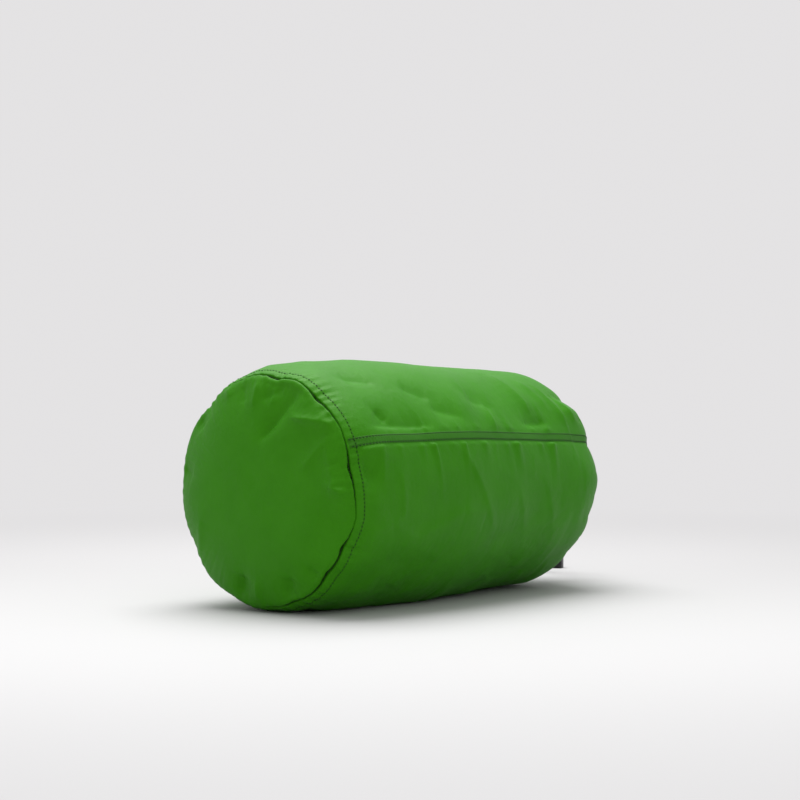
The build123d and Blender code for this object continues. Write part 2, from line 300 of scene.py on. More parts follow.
class Shader:
    """A material under construction."""

    def __init__(self, name: str) -> None:
        """Start an empty material with its surface shader."""
        self.material = bpy.data.materials.new(name)
        self.material.use_nodes = True
        self.tree = self.material.node_tree
        self.tree.nodes.clear()
        self.output = self.tree.nodes.new("ShaderNodeOutputMaterial")
        self.surface = self.tree.nodes.new("ShaderNodeBsdfPrincipled")
        self.tree.links.new(self.surface.outputs[0], self.output.inputs[0])

    def node(self, kind: str, settings: dict[str, Any], values: dict[Any, Any], result: Any = 0) -> Socket:
        """Add a node.

        Args:
            kind: the node's type.
            settings: its properties, set first.
            values: its inputs by name or number, as numbers or sockets.
            result: the output to return, by name or number.

        Returns:
            That output.
        """
        made = self.tree.nodes.new(kind)
        for key, value in settings.items():
            setattr(made, key, value)
        for key, value in values.items():
            self.feed(made.inputs[key], value)
        return Socket(self, made.outputs[result])

    def feed(self, target: Any, value: Any) -> None:
        """Link a socket, or set a plain value."""
        if isinstance(value, Socket):
            self.tree.links.new(value.link, target)
        elif isinstance(value, tuple) and len(value) == 3 and len(target.default_value) == 4:
            target.default_value = (*value, 1.0)
        else:
            target.default_value = value

    def set(self, **values: Any) -> None:
        """Set or link inputs of the surface shader; underscores stand for spaces."""
        for key, value in values.items():
            self.feed(self.surface.inputs[key.replace("_", " ")], value)

    def cloth_place(self) -> tuple[Socket, Socket, Socket]:
        """The piece's cloth coordinates as a vector and its two numbers."""
        vector = self.node("ShaderNodeUVMap", {"uv_map": "cloth"}, {})
        split = self.node("ShaderNodeSeparateXYZ", {}, {0: vector})
        return vector, split, Socket(self, split.link.node.outputs[1])

    def object_place(self) -> Socket:
        """Object coordinates, which are the frame's own."""
        return self.node("ShaderNodeTexCoord", {}, {}, "Object")

    def noise(self, place: Socket, scale: float, detail: float = 3.0, rough: float = 0.5) -> Socket:
        """Cloudy values about 0.5 with 1/scale metres from blob to blob."""
        values = {"Vector": place, "Scale": scale, "Detail": detail, "Roughness": rough}
        return self.node("ShaderNodeTexNoise", {}, values)

    def woven(self, across: Socket, along: Socket, pitch: float, squeeze: float = 1.0) -> Socket:
        """Threads that cross, from -1 to 1: sin(2 pi across / pitch) x sin(squeeze x 2 pi along / pitch)."""
        turns = 2 * math.pi / pitch
        return (across * turns).sine() * (along * (turns * squeeze)).sine()

    def mixed(self, share: Any, first: Any, second: Any) -> Socket:
        """A colour between two."""
        return self.node("ShaderNodeMix", {"data_type": "RGBA"}, {0: share, 6: first, 7: second}, 2)

    def bump(self, height: Socket, depth: float, under: Socket | None = None) -> Socket:
        """Surface relief of that depth in metres, over another relief if there is one."""
        values: dict[Any, Any] = {"Height": height, "Distance": depth, "Strength": 1.0}
        if under is not None:
            values["Normal"] = under
        return self.node("ShaderNodeBump", {}, values)


@dataclass(frozen=True)
class CoatedNylon:
    """Fine plain-weave nylon with a thin coating.

    bend is the coating's index of refraction and tint the colour of its shine. rows_across and rows_along
    are the places of needle rows in the cloth's two coordinates, where the colour is darkened as painted
    shade.
    """

    name: str = "green_nylon"
    colour: Colour = (0.03, 0.198, 0.002)
    worn: Colour = (0.036, 0.218, 0.004)
    thread_pitch: float = 0.00042
    gloss: float = 0.47
    bend: float = 1.23
    tint: tuple[float, float, float, float] = (0.85, 1.0, 0.5, 1.0)
    rows_across: tuple[float, ...] = ()
    rows_along: tuple[float, ...] = ()

    def material(self) -> Any:
        """Build the finish: weave, soft handling marks, painted shade along needle rows and an uneven sheen.
        """
        shader = Shader(self.name)
        place, across, along = shader.cloth_place()
        weave = shader.woven(across, along, self.thread_pitch)
        handling = shader.noise(place, 38.0, 4.0, 0.55)
        grain = shader.noise(place, 420.0, 2.0, 0.6)
        crinkle = 1.0 - (shader.noise(place, 95.0, 5.0, 0.52) * 2.0 - 1.0).size()
        shade = shader.mixed(handling.clamped(0.3, 0.72), self.colour, self.worn)
        dark = tuple(0.8 * c for c in self.colour)
        shade = shader.mixed((weave * 0.5 + 0.5) * 0.28 + grain * 0.1, shade, dark)
        rows = self._needle_row_shade(across, self.rows_across) + self._needle_row_shade(along, self.rows_along)
        # painted shade: the cloth darkens towards a quarter of its colour along each needle row
        shade = shader.mixed(rows * 0.2, shade, tuple(0.25 * c for c in self.colour))
        rough = self.gloss + (handling - 0.5) * 0.14 + weave * 0.02
        folds = shader.bump(crinkle, 0.00035)
        shader.set(
            Base_Color=shade,
            Roughness=rough,
            Normal=shader.bump(weave, 0.00002, folds),
            IOR=self.bend,
            Specular_Tint=self.tint,
        )
        return shader.material

    @staticmethod
    def _needle_row_shade(value: Socket, places: Sequence[float]) -> Socket | float:
        """1 along each row of stitches, where the cloth is darkened with painted shade for the groove the
        thread draws, and 0 elsewhere.
        """
        total: Socket | float = 0.0
        for place in places:
            total = total + (1.0 - (value - place).size().clamped(0.0003, 0.0009))
        return total


@dataclass(frozen=True)
class SewingThread:
    """Twisted polyester thread, a little darker than the cloth."""

    name: str
    colour: Colour = (0.007, 0.032, 0.003)
    twist: float = 0.0009

    def material(self) -> Any:
        """Build the finish: a diagonal twist in colour and relief."""
        shader = Shader(self.name)
        place = shader.object_place()
        values = {"Vector": place, "Scale": 0.16 / self.twist}
        ply = shader.node("ShaderNodeTexWave", {"bands_direction": "DIAGONAL"}, values)
        fuzz = shader.noise(place, 2600.0, 2.0)
        light = tuple(min(1.0, 1.7 * c) for c in self.colour)
        shader.set(
            Base_Color=shader.mixed(ply * 0.6 + fuzz * 0.4, self.colour, light),
            Roughness=0.55 + fuzz * 0.2,
            Normal=shader.bump(ply, 0.00006),
            IOR=1.28,
            Sheen_Weight=0.05,
        )
        return shader.material


@dataclass(frozen=True)
class BraidedCord:
    """Soft black braid."""

    name: str = "black_braid"
    colour: Colour = (0.005, 0.005, 0.0055)
    light: Colour = (0.02, 0.02, 0.021)

    def material(self) -> Any:
        """Build the finish: fibres, uneven dye and a fine braided relief."""
        shader = Shader(self.name)
        place = shader.object_place()
        fibre = shader.noise(place, 3800.0, 3.0, 0.6)
        patch = shader.noise(place, 500.0, 2.0)
        weave = shader.node("ShaderNodeTexVoronoi", {}, {"Vector": place, "Scale": 1100.0})
        shader.set(
            Base_Color=shader.mixed(fibre * 0.5 + patch * 0.4, self.colour, self.light),
            Roughness=0.62 + fibre * 0.2,
            Normal=shader.bump(fibre * 0.6 + weave * 0.4, 0.00008),
            Sheen_Weight=0.06,
            IOR=1.35,
        )
        return shader.material


@dataclass(frozen=True)
class MouldedPlastic:
    """Black moulded acetal with a fine sparked texture and rubbed edges."""

    name: str = "black_plastic"
    colour: Colour = (0.006, 0.006, 0.0065)
    rubbed: Colour = (0.018, 0.018, 0.019)

    def material(self) -> Any:
        """Build the finish: a sparked relief, paler and glossier where it is rubbed."""
        shader = Shader(self.name)
        place = shader.object_place()
        spark = shader.noise(place, 2400.0, 3.0, 0.6)
        rub = shader.noise(place, 260.0, 4.0, 0.6).clamped(0.5, 0.75)
        shader.set(
            Base_Color=shader.mixed(rub * 0.5 + spark * 0.2, self.colour, self.rubbed),
            IOR=1.4,
            Roughness=0.36 + spark * 0.2 - rub * 0.08,
            Normal=shader.bump(spark, 0.00006),
        )
        return shader.material


@dataclass(frozen=True)
class SpringWire:
    """Bright drawn steel wire."""

    name: str = "spring_wire"
    colour: Colour = (0.52, 0.52, 0.53)

    def material(self) -> Any:
        """Build the finish: faint drawing marks and a little dulling."""
        shader = Shader(self.name)
        place = shader.object_place()
        marks = shader.noise(place, 3000.0, 4.0, 0.7)
        shader.set(
            Base_Color=shader.mixed(marks, self.colour, tuple(0.7 * c for c in self.colour)),
            Metallic=1.0,
            Roughness=0.24 + marks * 0.2,
            Normal=shader.bump(marks, 0.00002),
        )
        return shader.material


@dataclass(frozen=True)
class BrushedCotton:
    """Grey clothing that fills the sack."""

    name: str = "packed_cotton"
    colour: Colour = (0.085, 0.088, 0.1)
    light: Colour = (0.15, 0.155, 0.17)
    rib_pitch: float = 0.0012

    def material(self) -> Any:
        """Build the finish: a knitted rib under loose fuzz."""
        shader = Shader(self.name)
        _, across, along = shader.cloth_place()
        rib = shader.woven(across, along, self.rib_pitch, 0.8)
        fuzz = shader.noise(shader.object_place(), 1800.0, 4.0, 0.65)
        shader.set(
            Base_Color=shader.mixed(fuzz * 0.7 + rib * 0.2, self.colour, self.light),
            Roughness=0.85 + fuzz * 0.1,
            Normal=shader.bump(rib * 0.5 + fuzz, 0.0002),
            Sheen_Weight=0.3,
        )
        return shader.material


@dataclass(frozen=True)
class PaleFloor:
    """White paper, painted lighter in front and darker further back as a painted light falloff, that fades
    into the pale background away from the sack.
    """

    name: str = "pale_floor"
    # near is the painted lit tone in front and back the painted darker tone further back
    near: Colour = (0.56, 0.56, 0.56)
    back: Colour = (0.43, 0.427, 0.428)
    far: Colour = (0.775, 0.765, 0.772)
    inward: tuple[float, float, float] = (0.767, 0.641, 0.0)
    painted_falloff: tuple[float, float] = (-0.5, 0.3)
    fade: tuple[float, float] = (0.3, 1.25)

    def material(self) -> Any:
        """Build the finish: a matt surface near the sack with a painted light falloff from front to back, and
        plain light far from it.
        """
        shader = Shader(self.name)
        place = shader.object_place()
        away = shader.node("ShaderNodeVectorMath", {"operation": "LENGTH"}, {0: place}, "Value")
        fibre = shader.noise(place, 300.0, 2.0)
        depth = {0: place, 1: self.inward}
        inward = shader.node("ShaderNodeVectorMath", {"operation": "DOT_PRODUCT"}, depth, "Value")
        # painted light falloff: lighter in front, darker further back along inward
        paper = shader.mixed(inward.clamped(*self.painted_falloff), self.near, self.back)
        shader.set(Base_Color=shader.mixed(fibre * 0.06, paper, self.far), Roughness=0.75 + fibre * 0.1)
        glow = shader.node("ShaderNodeEmission", {}, {"Color": self.far, "Strength": 1.0})
        surface = Socket(shader, shader.surface.outputs[0])
        blend = shader.node("ShaderNodeMixShader", {}, {0: away.clamped(*self.fade), 1: surface, 2: glow})
        shader.tree.links.new(blend.link, shader.output.inputs[0])
        return shader.material


# ---------------------------------------------------------------- the sack's shape


@dataclass(frozen=True)
class Pinch:
    """A place where the base seam is drawn in, or stands out where the depth is negative.

    angle and width are degrees round the sack; depth and shift, which goes towards the mouth, millimetres.
    """

    angle: float
    width: float
    depth: float
    shift: float = 0.0


@dataclass(frozen=True)
class Crease:
    """A ridge between two places on the flattened cloth, in millimetres; a negative height makes a valley.

    near and far are how far it reaches on its side of smaller and of larger coordinates, opening how much
    wider it is at its end than at its start, and tips the share of its height that is left at both.
    """

    start: tuple[float, float]
    end: tuple[float, float]
    height: float
    near: float
    far: float
    opening: float = 1.0
    tips: float = 0.45

    def relief(self, first: Array, second: Array) -> Array:
        """Height at each place: exp(-(v^2 + c^2)^0.5 + c) across the line, with rounded ends.

        v is the distance from the line in reaches, and c, 0.25, rounds the edge. The reach grows from the
        start, where it is divided by the opening, to the end.
        """
        begin = np.array(self.start) * MM
        run = np.array(self.end) * MM - begin
        length = np.linalg.norm(run)
        run = run / length
        across = np.array([run[1], -run[0]])
        across = across * np.sign(across[np.argmax(np.abs(across))])
        x, y = first - begin[0], second - begin[1]
        inside = np.clip((x * run[0] + y * run[1]) / length, 0, 1)
        away = np.hypot(x - inside * run[0] * length, y - inside * run[1] * length)
        side = x * across[0] + y * across[1]
        share = 0.5 + 0.5 * side / np.maximum(away, 1e-9)
        reach = (self.near + (self.far - self.near) * share) * MM
        reach = reach * (1 / self.opening + (1 - 1 / self.opening) * inside)
        bell = np.exp(0.25 - np.sqrt((away / reach) ** 2 + 0.25**2))
        return self.height * MM * bell * (1 - (1 - self.tips) * (2 * inside - 1) ** 4)


@dataclass(frozen=True)
class Crumple:
    """Many small creases at seeded places over the whole tube, in millimetres on the flattened cloth."""

    seed: int = 7
    count: int = 170
    around: float = 280
    span: tuple[float, float] = (14, 284)
    lean: float = 0.6
    half: tuple[float, float] = (9, 34)
    height: tuple[float, float] = (0.5, 1.7)
    reach: tuple[float, float] = (3.0, 12.0)
    opening: tuple[float, float] = (1, 2.5)

    def creases(self) -> list[Crease]:
        """Draw the creases: most run round the sack, and each is shallow and sharper on one side."""
        draw = np.random.default_rng(self.seed)
        made = []
        for _ in range(self.count):
            middle = np.array([draw.uniform(-self.around, self.around), draw.uniform(*self.span)])
            heading = draw.normal(0.0, self.lean)
            half = draw.uniform(*self.half) * np.array([math.cos(heading), math.sin(heading)])
            height = draw.uniform(*self.height) * draw.choice([-1.0, 1.0])
            near, far = draw.uniform(*self.reach, 2)
            ends = (tuple(middle - half), tuple(middle + half))
            made.append(Crease(*ends, height, near, far, draw.uniform(*self.opening), 0.0))
        return made


@dataclass(frozen=True)
class Waves:
    """Uneven waves: a sum of cosines with seeded phases, a whole number of each round the sack."""

    seed: int
    count: int
    around: tuple[float, float]
    along: tuple[float, float]

    def relief(self, distance: Array, angle: Array) -> Array:
        """Values of about -1 to 1 at distances in metres and angles in radians.

        Each wave is cos(m x angle + 2 pi f x distance + phase), with m whole and f in waves per metre.
        """
        draw = np.random.default_rng(self.seed)
        turns = np.round(draw.uniform(*self.around, self.count)) * draw.choice([-1, 1], self.count)
        rates = draw.uniform(*self.along, self.count)
        phases = draw.uniform(0, 2 * math.pi, self.count)
        total = np.zeros(np.broadcast(distance, angle).shape)
        for turn, rate, phase in zip(turns, rates, phases):
            total += np.cos(turn * angle + 2 * math.pi * rate * distance + phase)
        return total / math.sqrt(self.count)


@dataclass
class Skin:
    """A surface on a grid, rows along its profile and columns round the sack, that can be read anywhere."""

    grid: Array
    distances: Array

    def frame(self, distance: Array, angle: Array) -> tuple[Array, Array, Array, Array]:
        """Places and directions on the surface.

        Args:
            distance: metres along the profile.
            angle: radians round the sack.

        Returns:
            Points, and unit vectors outwards, along the profile and round the sack.
        """
        rows, columns = self.grid.shape[:2]
        row = np.interp(distance, self.distances, np.arange(rows))
        column = angle / (2 * math.pi) * columns
        low = np.clip(np.floor(row).astype(int), 0, rows - 2)
        left = np.floor(column).astype(int)
        s, t = (row - low)[..., None], (column - left)[..., None]
        left, right = left % columns, (left + 1) % columns
        a, b = self.grid[low, left], self.grid[low, right]
        c, d = self.grid[low + 1, left], self.grid[low + 1, right]
        points = (1 - s) * ((1 - t) * a + t * b) + s * ((1 - t) * c + t * d)
        along = unit((1 - t) * (c - a) + t * (d - b))
        around = unit((1 - s) * (b - a) + s * (d - c))
        return points, unit(np.cross(around, along)), along, around


def grid_normals(grid: Array) -> Array:
    """Outward directions of a grid that is closed round its columns."""
    around = np.roll(grid, -1, axis=1) - np.roll(grid, 1, axis=1)
    along = np.gradient(grid, axis=0)
    return unit(np.cross(around, along))


@dataclass
class ClothRelax:
    """Lets a drawn shape crumple as cloth of its real cut size would, without leaving that shape far."""

    frames: int = 24
    scale: float = 10.0
    pressure: float = 1.5
    hold: float = 0.03
    stiffness: float = 12.0
    bending: float = 0.08
    cap: float = 0.003
    mass: float = 0.15
    quality: int = 5

    def run(
        self, shape: Array, cut: Array, pinned: Array, middle: tuple[Array, Array] | None = None
    ) -> Array:
        """Simulate one piece.

        Args:
            shape: the drawn grid, closed round its columns.
            cut: the same grid at the size the cloth was cut to, which sets its rest lengths.
            pinned: a share for each row, 1 where it is sewn down.
            middle: the drawn and the cut place of a point that closes the first row, if there is one.

        Returns:
            The grid after the cloth has settled, no point moved by more than cap.
        """
        rows, columns = shape.shape[:2]
        points = shape.reshape(-1, 3)
        rest = cut.reshape(-1, 3)
        fan = None
        if middle is not None:
            points = np.concatenate([points, middle[0][None]])
            rest = np.concatenate([rest, middle[1][None]])
            fan = pole_fan(rows * columns, columns)
        piece = mesh_piece("settling", points * self.scale, grid_quads(rows, columns), fan)
        piece.shape_key_add(name="drawn")
        key = piece.shape_key_add(name="cut")
        key.data.foreach_set("co", np.ascontiguousarray(rest * self.scale, np.float32).ravel())
        group = piece.vertex_groups.new(name="sewn")
        shares = np.repeat(np.maximum(pinned, self.hold), columns)
        if middle is not None:
            shares = np.append(shares, self.hold)
        for share in np.unique(shares):
            group.add(np.flatnonzero(shares == share).tolist(), float(share), "REPLACE")
        cloth = piece.modifiers.new("Cloth", "CLOTH")
        settings = cloth.settings
        settings.quality = self.quality
        settings.mass = self.mass
        settings.tension_stiffness = self.stiffness
        settings.compression_stiffness = self.stiffness
        settings.shear_stiffness = self.stiffness / 3
        settings.bending_stiffness = self.bending
        settings.use_pressure = True
        settings.uniform_pressure_force = self.pressure
        settings.vertex_group_mass = "sewn"
        settings.rest_shape_key = key
        settings.effector_weights.gravity = 0.0
        cloth.point_cache.frame_end = self.frames
        scene = bpy.context.scene
        for step in range(1, self.frames + 1):
            scene.frame_set(step)
        settled = piece.evaluated_get(bpy.context.evaluated_depsgraph_get()).data
        result = np.empty(len(points) * 3, np.float32)
        settled.vertices.foreach_get("co", result)
        scene.frame_set(1)
        bpy.data.objects.remove(piece)
        moved = result.reshape(-1, 3).astype(float)[: rows * columns] / self.scale - points[: rows * columns]
        far = np.linalg.norm(moved, axis=1, keepdims=True)
        moved *= self.cap * np.tanh(far / self.cap) / np.maximum(far, 1e-9)
        return (points[: rows * columns] + moved).reshape(shape.shape)


@dataclass
class SackForm:
    """The filled sack: its profiles, its seams' places and what shapes it on a large scale.

    Profiles are points of (millimetres past the base seam, radius in millimetres). lip is how far past the
    seam the tube starts, closing the stretch over which its gathers rise, and softness the size of the
    rounding where the cloth meets the ground.
    """

    seam_x: float
    end_x: float
    tip_x: float
    axis_height: float = 0.085
    cut_radius: float = 0.0905
    fell_angle: float = math.radians(65.7)
    fold_count: int = 24
    columns: int = 216
    tube_rows: int = 110
    base_rows: int = 36
    factor: int = 2
    lip: float = 0.0018
    pinch_reach: float = 0.013
    closing: tuple[float, float] = (0.284, 0.336)
    gather_height: float = 0.0046
    softness: float = 0.0011
    tube_profile: tuple[tuple[float, float], ...] = (
        (1.8, 83.3), (8, 85.6), (19, 88.3), (40, 90.2), (64, 91.2), (96, 92.0), (128, 91.9), (160, 90.2),
        (192, 88.2), (222, 86.8), (250, 86.0), (272, 84.9), (289, 81.6), (299, 74.5), (306, 64.5), (313, 50),
        (317.6, 37), (319.6, 28), (322, 21.5), (327, 19.5), (333, 20.5),
    )
    base_profile: tuple[tuple[float, float], ...] = (
        (-12.0, 2.0), (-11.9, 16), (-11.5, 32), (-10.6, 46), (-9.0, 58), (-6.9, 68), (-4.6, 75), (-2.7, 79.4),
        (-1.4, 81.6),
    )
    pinches: tuple[Pinch, ...] = (
        Pinch(8, 6, 3.6), Pinch(22, 6, -0.8), Pinch(37, 6, 2.2, -0.6), Pinch(56, 6, -0.8, 0.4),
        Pinch(77, 7, 2.9, -1.2), Pinch(101, 9, -2.0, 1.8), Pinch(117, 5, 2.6, -0.6), Pinch(134, 7, 3.0, -1.2),
        Pinch(160, 7, 2.2), Pinch(175, 5, 1.4),
        Pinch(203, 8, 2.2, -0.5), Pinch(220, 7, -0.9, 0.4), Pinch(240, 7, 2.6, 0.5), Pinch(275, 9, 2.0, -0.8),
        Pinch(300, 8, -1.0, 0.6), Pinch(318, 7, 2.5, 0.4), Pinch(343, 6, 1.4),
    )

    def profile(self, points: Sequence[tuple[float, float]], count: int) -> tuple[Array, Array]:
        """A smooth profile of (x, radius) through points in millimetres, and the lengths along it."""
        line = resampled(np.array(points) * MM, count)
        distances = lengths_along(line)
        line[:, 0] += self.seam_x
        return line, distances

    def pinched(self, angle: Array) -> tuple[Array, Array]:
        """How far the base seam is drawn in and shifted towards the mouth: bells round the sack, summed."""
        inward = np.zeros_like(angle)
        shift = np.zeros_like(angle)
        for pinch in self.pinches:
            turn = np.degrees(angle_past(angle, math.radians(pinch.angle)))
            bell = np.exp(0.3 - np.sqrt((turn / pinch.width) ** 2 + 0.09))
            inward += pinch.depth * MM * bell
            shift += pinch.shift * MM * bell
        return inward, shift

    def gather(self, angle: Array) -> Array:
        """The gathers round the sack: |cos(n x angle / 2)|, round crests and sharp valleys, made uneven."""
        phase = self.fold_count * angle + 1.0 * np.sin(3 * angle + 1) + 0.7 * np.sin(5 * angle + 2.2)
        phase = phase + 0.5 * np.sin(8 * angle + 0.4)
        size = 1.0 + 0.22 * np.sin(5 * angle + 0.7) + 0.18 * np.sin(11 * angle + 2.0)
        return (np.abs(np.cos(phase / 2)) - 0.637) * size

    def gape(self, angle: Array) -> Array:
        """How far the base seam stands open: 0 where it lies shut, to 1 where it is drawn in hard."""
        return np.clip((self.pinched(angle)[0] / MM - 0.3) / 2.2, 0, 1)

    def rings(self, profile: Array, angle: Array) -> Array:
        """Turn a profile of (x, radius) round the axis: y = -r sin(angle), z = height + r cos(angle)."""
        x = np.broadcast_to(profile[:, :1], (len(profile), len(angle)))
        y = -profile[:, 1:] * np.sin(angle)
        z = self.axis_height + profile[:, 1:] * np.cos(angle)
        return np.stack([x, y, z], axis=-1)

    def resting(self, grid: Array, low: float = 0.0, softness: float | None = None) -> Array:
        """Flatten what would sink below a height: z becomes low + h ln(1 + exp((z - low) / h))."""
        softness = softness or self.softness
        result = grid.copy()
        result[..., 2] = low + softness * np.logaddexp(0.0, (grid[..., 2] - low) / softness)
        return result

    def grounded(self, grid: Array) -> Array:
        """Rest the cloth on the ground, which widens its foot a little."""
        result = self.resting(grid)
        result[..., 1] *= 1.0 + 0.03 * np.exp(-((grid[..., 2] / 0.022) ** 2))
        return result

    def outward(self, profile: Array, angle: Array) -> Array:
        """Directions out of a turned profile: its own direction turned a quarter, carried round."""
        step = unit(np.gradient(profile, axis=0))
        across = np.stack([-step[:, 1], step[:, 0]], axis=1)
        y = -across[:, 1:] * np.sin(angle)
        z = across[:, 1:] * np.cos(angle)
        x = np.broadcast_to(across[:, :1], y.shape)
        return np.stack([x, y, z], axis=-1)

    def raised(self, profile: Array, angle: Array, relief: Array) -> Array:
        """A turned profile moved out of its surface by the relief."""
        return self.rings(profile, angle) + self.outward(profile, angle) * relief[..., None]

    def refine(self, grid: Array, distances: Array) -> tuple[Array, Array]:
        """A grid and the distances of its rows, both read more finely."""
        fine = refined(grid, self.factor)
        return fine, between(distances, np.arange(len(fine)) / self.factor, Closure.OPEN)


@dataclass
class SackCloth:
    """The sewn cloth: tube and base panel with their relief.

    Creases on the tube lie at (past the felled seam, past the base seam), those on the base panel at
    (across, up) from its middle. The felled seam draws the crumple smooth between the first and last two
    places of smooth_band, and its ripples lie at millimetres past the base seam.
    """

    form: SackForm
    tube: Skin = field(init=False)
    base: Skin = field(init=False)
    tube_creases: tuple[Crease, ...] = (
        Crease((-11, 28), (-9, 84), -2.47, 8, 3),
        Crease((-24, 38), (-14, 44), -3.04, 5, 5),
        Crease((-62, 36), (-54, 60), -2.28, 7, 6),
        Crease((-46, 84), (-34, 104), -2.85, 10, 8),
        Crease((-24, 98), (-16, 126), -3.04, 9, 8),
        Crease((-34, 148), (-26, 172), -3.23, 14, 9),
        Crease((-30, 164), (-6, 161), 2.09, 3, 3),
        Crease((-70, 212), (-22, 222), 2.28, 5, 14),
        Crease((-12, 206), (-13, 234), -3.23, 8, 4),
        Crease((-52, 254), (-11, 262), 1.9, 4, 6),
        Crease((-44, 268), (-14, 277), 1.71, 3, 5),
        Crease((-60, 240), (-30, 246), 1.52, 4, 6),
        Crease((7, 8), (6, 30), 2.2, 3, 5),
        Crease((20, 6), (25, 20), -3.0, 9, 9),
        Crease((8, 27), (30, 24), 1.8, 3, 4),
        Crease((12, 112), (68, 149), 1.5, 3, 6),
        Crease((24, 42), (55, 45), 1.2, 2.5, 4),
        Crease((66, 14), (59, 34), 1.7, 5, 17, 1.2, 0.5),
        Crease((59, 34), (70, 62), 1.7, 5, 16, 1.2, 0.5),
        Crease((70, 62), (53, 110), 2.2, 5, 18, 1.2, 0.5),
        Crease((53, 110), (58, 136), 1.7, 5, 16, 1.2, 0.3),
        Crease((84, 150), (60, 215), -1.8, 12, 14),
        Crease((40, 176), (74, 196), 1.1, 3, 6),
        Crease((34, 214), (80, 236), 1.2, 4, 7),
        Crease((88, 40), (94, 92), -2.0, 10, 12),
        Crease((-24, 264), (-27, 314), 2.6, 8, 14),
        Crease((2, 262), (3, 318), -4.6, 20, 20),
        Crease((33, 266), (33, 314), 1.8, 16, 16),
        Crease((-41, 262), (-44, 312), -2.8, 8, 8),
        Crease((68, 270), (70, 316), -1.8, 16, 12),
        Crease((108, 250), (110, 318), -4.2, 24, 30),
    )
    crumple: Crumple = Crumple()
    smooth_band: tuple[float, float, float, float] = (-150.0, -115.0, 85.0, 125.0)
    smoothing: float = 0.72
    ripple_height: float = 3.2
    band_height: float = 0.35
    band_end: tuple[float, float] = (0.0075, 0.0095)
    topstitch: float = 0.007
    ripples: tuple[float, ...] = (69, 80, 92, 102, 114, 127, 138, 154, 168, 181, 199, 214, 232, 250, 44)
    base_creases: tuple[Crease, ...] = (
        Crease((-8, 38), (-34, 69), -4.2, 6, 12, 2.5),
        Crease((-35, 52), (-68, 48), 3.4, 4, 6, 2.0),
        Crease((-67, 5), (-80, 0), 4.2, 3.5, 5, 1.0, 0.4),
        Crease((-62, 40), (-68, 20), 2.0, 9, 5, 1.3, 0.3),
        Crease((-68, 20), (-72, 5), 2.4, 9, 5, 1.0, 0.5),
        Crease((-46, 18), (-61, 35), 1.8, 2.5, 5),
        Crease((-4, 66), (-20, 74), -2.38, 6, 6),
        Crease((4, 60), (3, 77), 1.53, 3, 3),
        Crease((-12, 62), (-14, 76), 1.36, 3, 3),
        Crease((14, 62), (17, 75), -1.36, 4, 4),
        Crease((-30, -60), (-26, -74), -3.74, 5, 5),
        Crease((14, -60), (20, -74), -4.42, 6, 5),
        Crease((2, -64), (4, -78), 1.7, 4, 4),
        Crease((-46, -52), (-58, -62), -2.04, 5, 5),
        Crease((54, -22), (60, -46), 1.53, 6, 6),
        Crease((64, 10), (78, 14), -1.7, 6, 6),
        Crease((56, 44), (66, 54), -2.21, 6, 6),
        Crease((30, 66), (36, 76), 1.53, 4, 4),
        Crease((-58, -14), (-76, -20), -1.36, 6, 6),
        Crease((20, 20), (-14, -30), 1.19, 20, 20),
    )

    def __post_init__(self) -> None:
        """Work out both surfaces."""
        self.tube = self._tube_skin()
        self.base = self._base_skin()

    def _tube_skin(self) -> Skin:
        """The tube from its seam to inside the casing."""
        form = self.form
        angle = angles_round(form.columns)
        profile, distances = form.profile(form.tube_profile, form.tube_rows)
        distances += form.lip
        d, a = net(distances, angle)
        near = np.exp(-((d - form.lip) / form.pinch_reach))
        inward, shift = form.pinched(a)
        relief = -inward * near
        relief += 0.9 * MM * Waves(3, 9, (1, 5), (1, 9)).relief(d, a) * smoothstep(0.0, 0.03, d)
        relief += 0.45 * MM * Waves(11, 14, (4, 13), (6, 22)).relief(d, a) * smoothstep(0.0, 0.02, d)
        relief += form.gather_height * smoothstep(*form.closing, d) ** 1.3 * form.gather(a)
        grid = form.raised(profile, angle, relief)
        grid[..., 0] += shift * near
        grid = self._settled_tube(form.grounded(grid), distances, angle)
        grid, distances = form.refine(grid, distances)
        return Skin(self._tube_details(grid, distances), distances)

    def _settled_tube(self, grid: Array, distances: Array, angle: Array) -> Array:
        """Crumple the tube: it was cut as a plain cylinder, so it has cloth to spare at the mouth."""
        form, spare = self.form, 1.02
        x = form.seam_x + spare * distances
        cut = form.rings(np.stack([x, np.full(len(x), spare * form.cut_radius)], axis=1), angle)
        pinned = 1 - smoothstep(0.002, 0.008, distances) + smoothstep(0.352, 0.36, distances)
        return ClothRelax().run(grid, cut, np.clip(pinned, 0, 1))

    def _tube_details(self, grid: Array, distances: Array) -> Array:
        """Fine relief: creases, what the felled seam draws in, and what the base seam puckers."""
        form = self.form
        d, a = net(distances, angles_round(grid.shape[1]))
        across = angle_past(a, form.fell_angle) * form.cut_radius
        inside = smoothstep(0.0078, 0.0125, d) * (1 - smoothstep(0.31, 0.34, d))
        relief = (self._folds(across, d) + self._hang(across, d)) * inside + self._puckers(d, a)
        return form.resting(grid + grid_normals(grid) * relief[..., None])

    def _folds(self, across: Array, d: Array) -> Array:
        """The creases, and a crumple that is weaker where the seam draws the cloth smooth."""
        relief = np.zeros_like(d)
        for crease in self.tube_creases:
            relief += crease.relief(across, d)
        x, band = across / MM, self.smooth_band
        drawn = smoothstep(*band[:2], x) * (1 - smoothstep(*band[2:], x))
        for crease in self.crumple.creases():
            relief += crease.relief(across, d) * (1 - self.smoothing * drawn)
        return relief

